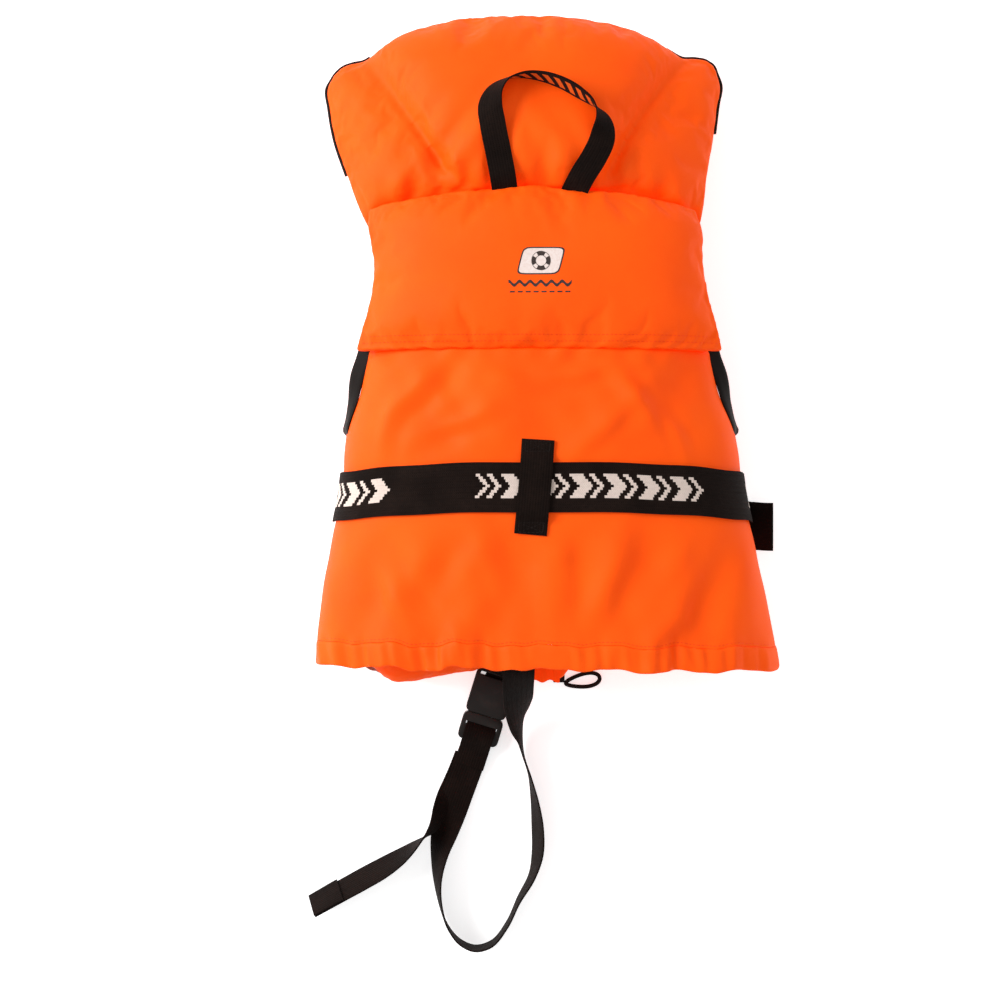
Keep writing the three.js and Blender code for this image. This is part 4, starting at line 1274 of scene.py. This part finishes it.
def armhole_binding(name, side, node_name):
    """Tape folded over the armhole's edge: down the back panel, then along the front cushion."""
    middle, over = [], []
    for y in np.linspace(SEAM + 3, ARMHOLE_FOOT + 6, 28):
        angle = armhole_angle(np.array([y]))
        x, _, z = arch_point(np.array([y]), angle, np.array([0.0]), widen(np.array([y])))
        t = clamp01((y - ARMHOLE_FOOT) / 70)
        reach = 5.4 + 2.4 * bump(t - 0.55, 0.22) - 5.4 * ease((0.38 - t) / 0.34)
        tilt = mix(1.35, 0.42, ease(t))
        out, down = math.cos(tilt) * reach, math.sin(tilt) * reach
        pulled = 2.6 * ease((t - 0.7) / 0.3) + 2.4 * ease((0.16 - t) / 0.16)
        local = (x[0] - drift(np.array([y]))[0]) + out - pulled
        middle.append((side * local + drift(np.array([y]))[0], y, z[0] - down * 0.7))
        over.append((side * math.cos(tilt), 0.0, -math.sin(tilt)))
    turn_y = ARMHOLE_FOOT - 1
    for y in np.linspace(turn_y + 12, FRONT_TOP - 6, 30):
        edge = chest_edge(np.array([y]))[0] + 1.4 - 0.8 * ease((ARMHOLE_FOOT + 26 - y) / 16)
        middle.append((side * edge, y, FRONT_THICK / 2 + 1))
        over.append((0.0, 0.0, -1.0))
    middle, over = np.array(middle), np.array(over)
    joined, _ = spine(np.concatenate([middle, over], 1), 110)
    obj = band(name, joined[:, :3], joined[:, 3:], 13.4, 3.0, 8, 0.6)
    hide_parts(node_name)
    return dress(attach(obj, "root"), black_binding)


# ---- Waist belt ----
def belt_point(share, y, out, end):
    """A point of the belt's run, out from the jacket. end is where each side stops, from x = 0."""
    a = np.abs(share)
    side = np.sign(share)
    half = half_width(y) + widen(y) * 0.85
    angle = np.clip(share / ARCH_SHARE, -1, 1) * math.pi / 2
    settle = back_folds(angle, y) * 0.55
    ax, _, az = arch_point(y, angle, out + settle, widen(y))
    drop = SIDE_SEAM_HEIGHT - BELT_FLOOR - BELT_BEND
    turn = BELT_BEND * math.pi / 2
    centre = half - BELT_BEND
    stop = np.where(side > 0, end[1], end[0])
    run = (a - ARCH_SHARE) / (1 - ARCH_SHARE) * (drop + turn + centre - stop)
    bend = np.clip((run - drop) / BELT_BEND, 0, math.pi / 2)
    radius = BELT_BEND + out
    sx = centre + radius * np.cos(bend)
    sz = BELT_FLOOR + BELT_BEND - radius * np.sin(bend)
    sx = np.where(run < drop, half + out, sx)
    sz = np.where(run < drop, SIDE_SEAM_HEIGHT - run, sz)
    flat = run > drop + turn
    sx = np.where(flat, centre - (run - drop - turn), sx)
    sz = np.where(flat, BELT_FLOOR - out, sz)
    slide = drift(y) * ease(sz / 24)
    on_arch = a <= ARCH_SHARE
    return np.where(on_arch, ax, side * sx + slide), y, np.where(on_arch, az, sz)


def waist_belt():
    ends = (43.0, 10.0)
    obj = slab("waist_belt", 14, 520)
    a, b, c = corners(obj).T
    share = b
    y = belt_centre(share) + a * BELT_WIDTH / 2
    middle = np.stack(belt_point(share, belt_centre(share), 1.2, ends), 1)
    out = 1.35 + c * WEB / 2 * (1 - 0.3 * np.abs(a) ** 6) + 0.5
    sag = 0.5 * waves(share * 330, 0 * share, 71, 60, 0.3, 0, 5) * (np.abs(share) < ARCH_SHARE)
    place = np.stack(belt_point(share, y + sag, out, ends), 1)
    order = np.argsort(share, kind="stable")
    walk = middle[order]
    steps = np.linalg.norm(np.diff(walk, axis=0), axis=1)
    run = np.zeros(len(share))
    run[order] = np.concatenate([[0], np.cumsum(steps)])
    run -= np.interp(0.0, share[order], run[order])
    set_corners(obj, place * MM)
    weave_along(obj, a * BELT_WIDTH / 2 * MM, run * MM)
    outward(obj)
    smooth(obj, 50)
    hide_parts("waist_belt")
    return dress(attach(obj, "root"), belt_webbing)


def keeper_on_back():
    """Webbing sewn to the back above and below the belt, which runs under it."""
    length, wide = 74.0, 25.5
    rows = np.linspace(-1, 1, 61)
    middle, over = [], []
    tilt = 0.1
    for b in rows:
        y = BELT + b * length / 2
        x = -7.2 + tilt * b * length / 2
        angle = math.asin(min(1.0, (abs(x) / half_width(y)) ** (ARCH_POWER / 2))) * (1 if x > 0 else -1)
        lift = ease((length / 2 * (1 - abs(b)) - 9) / 7)
        settle = back_folds(np.array([angle]), np.array([y]))[0]
        z = arch_point(y, angle, 0.0, widen(y))[2] + mix(settle, settle * 0.55 + 3.1, lift) + 1.15
        middle.append((x + drift(y), y, z))
        over.append((1.0, -tilt, 0.0))
    obj = band("belt_keeper_back", np.array(middle), np.array(over), wide, WEB, 10)
    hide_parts("back_keeper")
    return dress(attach(obj, "root"), black_webbing)


def keeper_on_front(name, node_name):
    low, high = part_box(node_name)
    x = (low.x + high.x) / 2 / MM
    y0, y1 = low.y / MM, high.y / MM
    rows = np.linspace(0, 1, 41)
    z = 0.75 + WEB / 2 + 0.25 * np.sin(rows * math.pi * 3)
    middle = np.stack([x + 0 * rows, mix(y0, y1, rows), z], 1)
    over = np.tile((1.0, 0.0, 0.0), (41, 1))
    obj = band(name, middle, over, 25, WEB, 8)
    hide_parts(node_name)
    return dress(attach(obj, "root"), black_webbing)


def tail_row(x, above):
    """The spare end's line: it sinks toward the hem and lifts at its tip."""
    lift = 16 * clamp01((x - 158) / 26) ** 2
    sink = 24 * ease(clamp01((x - 66) / 118))
    return np.stack([x, BELT - BELT_DROP - sink, 3.75 + lift + above], 1)


def belt_tail():
    """The belt's spare end: it leaves the buckle, runs out under the belt and shows at the side."""
    middle = tail_row(mix(14.0, 185.0, np.linspace(0, 1, 121)), 0)
    over = np.tile((0.0, 1.0, 0.0), (121, 1))
    obj = band("waist_belt_spare_end", middle, over, BELT_WIDTH, WEB, 12)
    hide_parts("waist_belt_tail")
    dress(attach(obj, "root"), black_webbing)
    turned = np.linspace(0, 1, 25)
    middle = tail_row(mix(169.5, 186.0, turned), WEB + 0.3 + 0.5 * np.sin(turned * 3.1))
    fold = band("waist_belt_end_fold", middle, over[:25], BELT_WIDTH + 0.4, WEB, 12)
    dress(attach(fold, "root"), black_webbing)
    return obj


# ---- Grab loop ----
LOOP_ROUTE = (
    (-33.6, 124, 98, 0), (-34.0, 129.5, 105.5, 0), (-35.2, 137, 111.5, 0), (-38.6, 155, 113.2, 0),
    (-43.2, 178, 112.0, 6), (-45.0, 192, 111.5, 24), (-41.8, 203, 112.0, 50), (-33.2, 211.5, 112.0, 74),
    (-20.0, 215.2, 112.0, 90), (-6, 214.2, 111.5, 99), (9.5, 209.2, 111.0, 104), (24, 201.0, 111.0, 103),
    (35.0, 192.5, 111.5, 88), (41.8, 181, 112.0, 50), (41.6, 167, 112.6, 16), (35.0, 152, 113.0, 4),
    (26.5, 138.5, 111.5, 0), (22.0, 130.5, 105.5, 0), (19.0, 125, 98, 0),
)


def grab_loop():
    tree = surface_of(neck)
    route = []
    for x, y, z, tilt in LOOP_ROUTE:
        if y > 136:
            lean = abs(math.sin(math.radians(tilt)))
            below = max((top_of(tree, x + side * 9 * (1 - lean), y)[0] or 0) for side in (-1, 0, 1))
            z = max(z, below + 1.6 + 8.2 * lean)
        route.append((x, y, z, tilt))
    obj, _, _, _ = strap("grab_loop_webbing", route, 20, 1.6, 150, 8)
    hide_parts("grab_loop")
    return dress(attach(obj, "grab_loop"), loop_webbing)


# ---- Zip and its foot ----
def zip_foot():
    tab = refined("zip_foot_tab", "zip_foot_tab_webbing", 0.0008)
    dress(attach(tab, "root"), black_binding)
    # The tab runs in under the cushion, where it is sewn.
    reach = np.linspace(-256, -232, 21)
    middle = np.stack([11.5 + 0 * reach, reach, 3.2 + 0 * reach], 1)
    root_end = band("zip_foot_tab_root", middle, np.tile((1.0, 0.0, 0.0), (21, 1)), 9.5, 1.6, 6)
    dress(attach(root_end, "root"), black_binding)
    turn = 0.16
    rows = []
    for angle in np.linspace(0, 2 * math.pi, 73)[:-1]:
        x = 14.2 * math.cos(angle)
        y = 5.2 * math.sin(angle) * (1 + 0.35 * math.cos(angle))
        rows.append((
            x * math.cos(turn) - y * math.sin(turn) + 31,
            x * math.sin(turn) + y * math.cos(turn) + FRONT_HEM - 3.5,
        ))
    middle = np.array([(x, y, 3.3) for x, y in rows])
    loop = tube("zip_foot_pull_loop", np.concatenate([middle, middle[:1]]), 1.7)
    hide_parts("zip_foot_loop")
    dress(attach(loop, "root"), black_binding)


# ---- Printed mark: a plain badge with a ring, a wave line and a row of dashes ----
def printed(name, tree, place, across, along, finish, lift=0.16):
    """A thin print that follows the pad. place(a, b) gives its x, y in millimetres."""
    obj = slab(name, across, along)
    a, b, c = corners(obj).T
    x, y = place(a, b)
    points = []
    for px, py, side in zip(x, y, c):
        z, _ = top_of(tree, px, py)
        points.append((px, py, z + lift + (0.14 if side > 0 else -0.1)))
    set_corners(obj, np.array(points) * MM)
    outward(obj)
    smooth(obj, 60)
    dress(obj, finish)
    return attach(obj, "root")


def joined(name, *objs):
    deselect()
    for obj in objs:
        obj.select_set(True)
    bpy.context.view_layer.objects.active = objs[0]
    bpy.ops.object.join()
    objs[0].name = objs[0].data.name = name
    return objs[0]


def printed_mark(pad):
    tree = surface_of(pad)
    cx, cy = -6.0, 71.5

    def plate(half_x, half_y, slant):
        def place(a, b):
            corner = 1 - 0.10 * (np.abs(a) * np.abs(b)) ** 6
            return cx + a * half_x * corner + slant * b * half_y, cy + b * half_y * corner

        return place

    def ring(outer, inner, x, y):
        def place(a, b):
            radius = mix(inner, outer, (b + 1) / 2)
            return x + radius * np.cos(a * 3.138), y + radius * np.sin(a * 3.138)

        return place

    def bar(x0, x1, y, high, slant):
        return lambda a, b: (mix(x0, x1, (a + 1) / 2) + slant * b * high / 2, y + b * high / 2)

    back = printed("mark_edge", tree, plate(16.4, 10.6, 0.26), 30, 20, dark_print, 0.02)
    badge = printed("mark_badge", tree, plate(15.3, 9.6, 0.26), 30, 20, pale_print, 0.2)
    circle = printed("mark_ring", tree, ring(7.4, 4.0, cx, cy), 64, 4, dark_print, 0.4)
    quarters = []
    for i in range(4):
        angle = math.radians(45 + 90 * i)

        def wedge(a, b, angle=angle):
            turn = angle + a * 0.26
            radius = mix(4.4, 7.0, (b + 1) / 2)
            return cx + radius * np.cos(turn), cy + radius * np.sin(turn)

        quarters.append(printed(f"mark_band_{i}", tree, wedge, 6, 4, pale_print, 0.56))
    # A long wave line in place of words, and a row of short dashes under it.
    def wave_line(a, b):
        x = mix(-31, 17.5, (a + 1) / 2)
        return x, 54.2 + 1.5 * np.sin(x * 2 * math.pi / 8.2) + b * 1.25

    wave = printed("mark_wave", tree, wave_line, 110, 3, dark_print, 0.08)
    dashes = [
        printed(f"mark_dash_{i}", tree, bar(x, x + 3.8, 47.7, 1.1, 0.3), 5, 2, dark_print, 0.08)
        for i, x in enumerate(-30 + 6.1 * np.arange(8))
    ]
    dark = joined("printed_mark_dark", circle, back, wave, *dashes)
    pale = joined("printed_mark_pale", badge, *quarters)
    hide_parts("back_patch")
    return dark, pale


# ---- Making the jacket ----
panel = back_panel()
hem = hem_tunnel()
pad = back_pad()
neck = collar()
EARS = (("left", -1, 0.79, -0.22), ("right", 1, 0.72, 0.30))
for word, side, first, last in EARS:
    collar_piping(f"collar_piping_{word}_ear", side, first, last, "collar_piping_" + word)
SIDES = (("left", -1), ("right", 1))
cushions = [
    front_cushion("front_cushion_" + word, side, "front_cover_" + word, "front_foam_" + word)
    for word, side in SIDES
]
for (word, side), cushion in zip(SIDES, cushions):
    reflector("reflective_patch_" + word, side, "reflector_" + word, cushion)
for word, _ in SIDES:
    shoulder("shoulder_piece_" + word, "shoulder_" + word)
for word, side in SIDES:
    armhole_binding("armhole_tape_" + word, side, "armhole_binding_" + word)
belt = waist_belt()
keeper = keeper_on_back()
for word, _ in SIDES:
    keeper_on_front("belt_keeper_front_" + word, "front_keeper_" + word)
belt_tail()
loop = grab_loop()
zip_foot()
zip_facing()
printed_mark(pad)

for cad_node, body in (
    ("waist_buckle_female", "root"),
    ("waist_buckle_male", "waist_male"),
    ("waist_prong_upper", "waist_prong_upper"),
    ("waist_prong_lower", "waist_prong_lower"),
    ("zip_foot_box", "root"),
):
    piece = refined(cad_node, cad_node + "_moulded", 0.0006)
    dress(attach(piece, body), black_plastic)
for cad_node, body in (("zip_slider", "zip_slider"), ("zip_puller", "zip_puller")):
    piece = refined(cad_node, cad_node + "_cast", 0.0003)
    dress(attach(piece, body), zip_lacquer)
for side, _ in SIDES:
    teeth = refined("zip_teeth_" + side, "zip_teeth_moulded_" + side, 0.0002)
    dress(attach(teeth, "root"), black_plastic)
    tape = refined("zip_tape_" + side, "zip_tape_woven_" + side, 0.0002)
    dress(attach(tape, "root"), black_binding)

# ---- Stitching ----
PAD_STITCH_REACH = 140
HEM_STITCH_REACH = 181
across = np.linspace(-1, 1, 80)
pad_line = np.stack([across * PAD_STITCH_REACH + drift(SEAM + 0 * across), 0 * across], 1)
sewn("stitching_pad_seam", pad, pad_line + (0, SEAM + 4.2), "root", orange_thread)
second = pad_line * (0.985, 1) + (0, SEAM + 9.0)
sewn("stitching_pad_second", pad, second, "root", orange_thread)


def sewn_box(cx, cy, wide, high, lean):
    """A stitched box with a cross in it, as webbing is sewn down."""
    w, h = wide / 2, high / 2
    path = np.array([(-w, -h), (w, -h), (w, h), (-w, h), (-w, -h), (w, h), (w, -h), (-w, h)])
    part = np.linspace(0, 1, 9)[:-1, None]
    rows = np.concatenate([start + (end - start) * part for start, end in zip(path, path[1:])])
    return np.stack([cx + rows[:, 0] + lean * rows[:, 1], cy + rows[:, 1]], 1)


KEEPER_LEAN = 0.1
for place, y in (("top", BELT + 31.5), ("bottom", BELT - 31.5)):
    x = -7.2 + KEEPER_LEAN * (y - BELT) + float(drift(y))
    box = sewn_box(x, y, 19, 7.5, KEEPER_LEAN)
    sewn("stitching_keeper_" + place, keeper, box, "root", black_thread)
hem_row = np.stack([across * HEM_STITCH_REACH + drift(BACK_HEM + 0 * across), 0 * across], 1)
hem_row[:, 1] = BACK_HEM + HEM_FOLD + 2.4 + hem_line(hem_row[:, 0])
sewn("stitching_hem", panel, hem_row, "root", orange_thread)

# ---- Floor and light ----
deselect()
bpy.ops.mesh.primitive_plane_add(size=24, location=(0, 0, -0.0002))
floor = bpy.context.active_object
floor.name = "studio_floor"
floor_finish, floor_nodes, _ = new_material("pale studio floor")
floor_shader = floor_nodes["Principled BSDF"]
floor_shader.inputs["Base Color"].default_value = (0.93, 0.93, 0.93, 1)
floor_shader.inputs["Roughness"].default_value = 0.9
floor_shader.inputs["Emission Color"].default_value = (1, 1, 1, 1)
floor_shader.inputs["Emission Strength"].default_value = 0.6
floor.data.materials.append(floor_finish)


def softbox(name, place, target, size, power_watts):
    data = bpy.data.lights.new(name, "AREA")
    data.shape = "SQUARE"
    data.size = size
    data.energy = power_watts
    obj = bpy.data.objects.new(name, data)
    bpy.context.scene.collection.objects.link(obj)
    obj.location = place
    obj.rotation_mode = "QUATERNION"
    obj.rotation_quaternion = (Vector(target) - Vector(place)).to_track_quat("-Z", "Y")


softbox("key light", (-1.75, 0.45, 1.25), (0, 0, 0.05), 1.1, 47)
softbox("fill light", (1.5, 0.4, 1.9), (0, 0, 0.05), 1.8, 4)
world = bpy.data.worlds.new("soft studio")
bpy.context.scene.world = world
world.use_nodes = True
world.node_tree.nodes["Background"].inputs["Color"].default_value = (1, 1, 1, 1)
world.node_tree.nodes["Background"].inputs["Strength"].default_value = 0.56
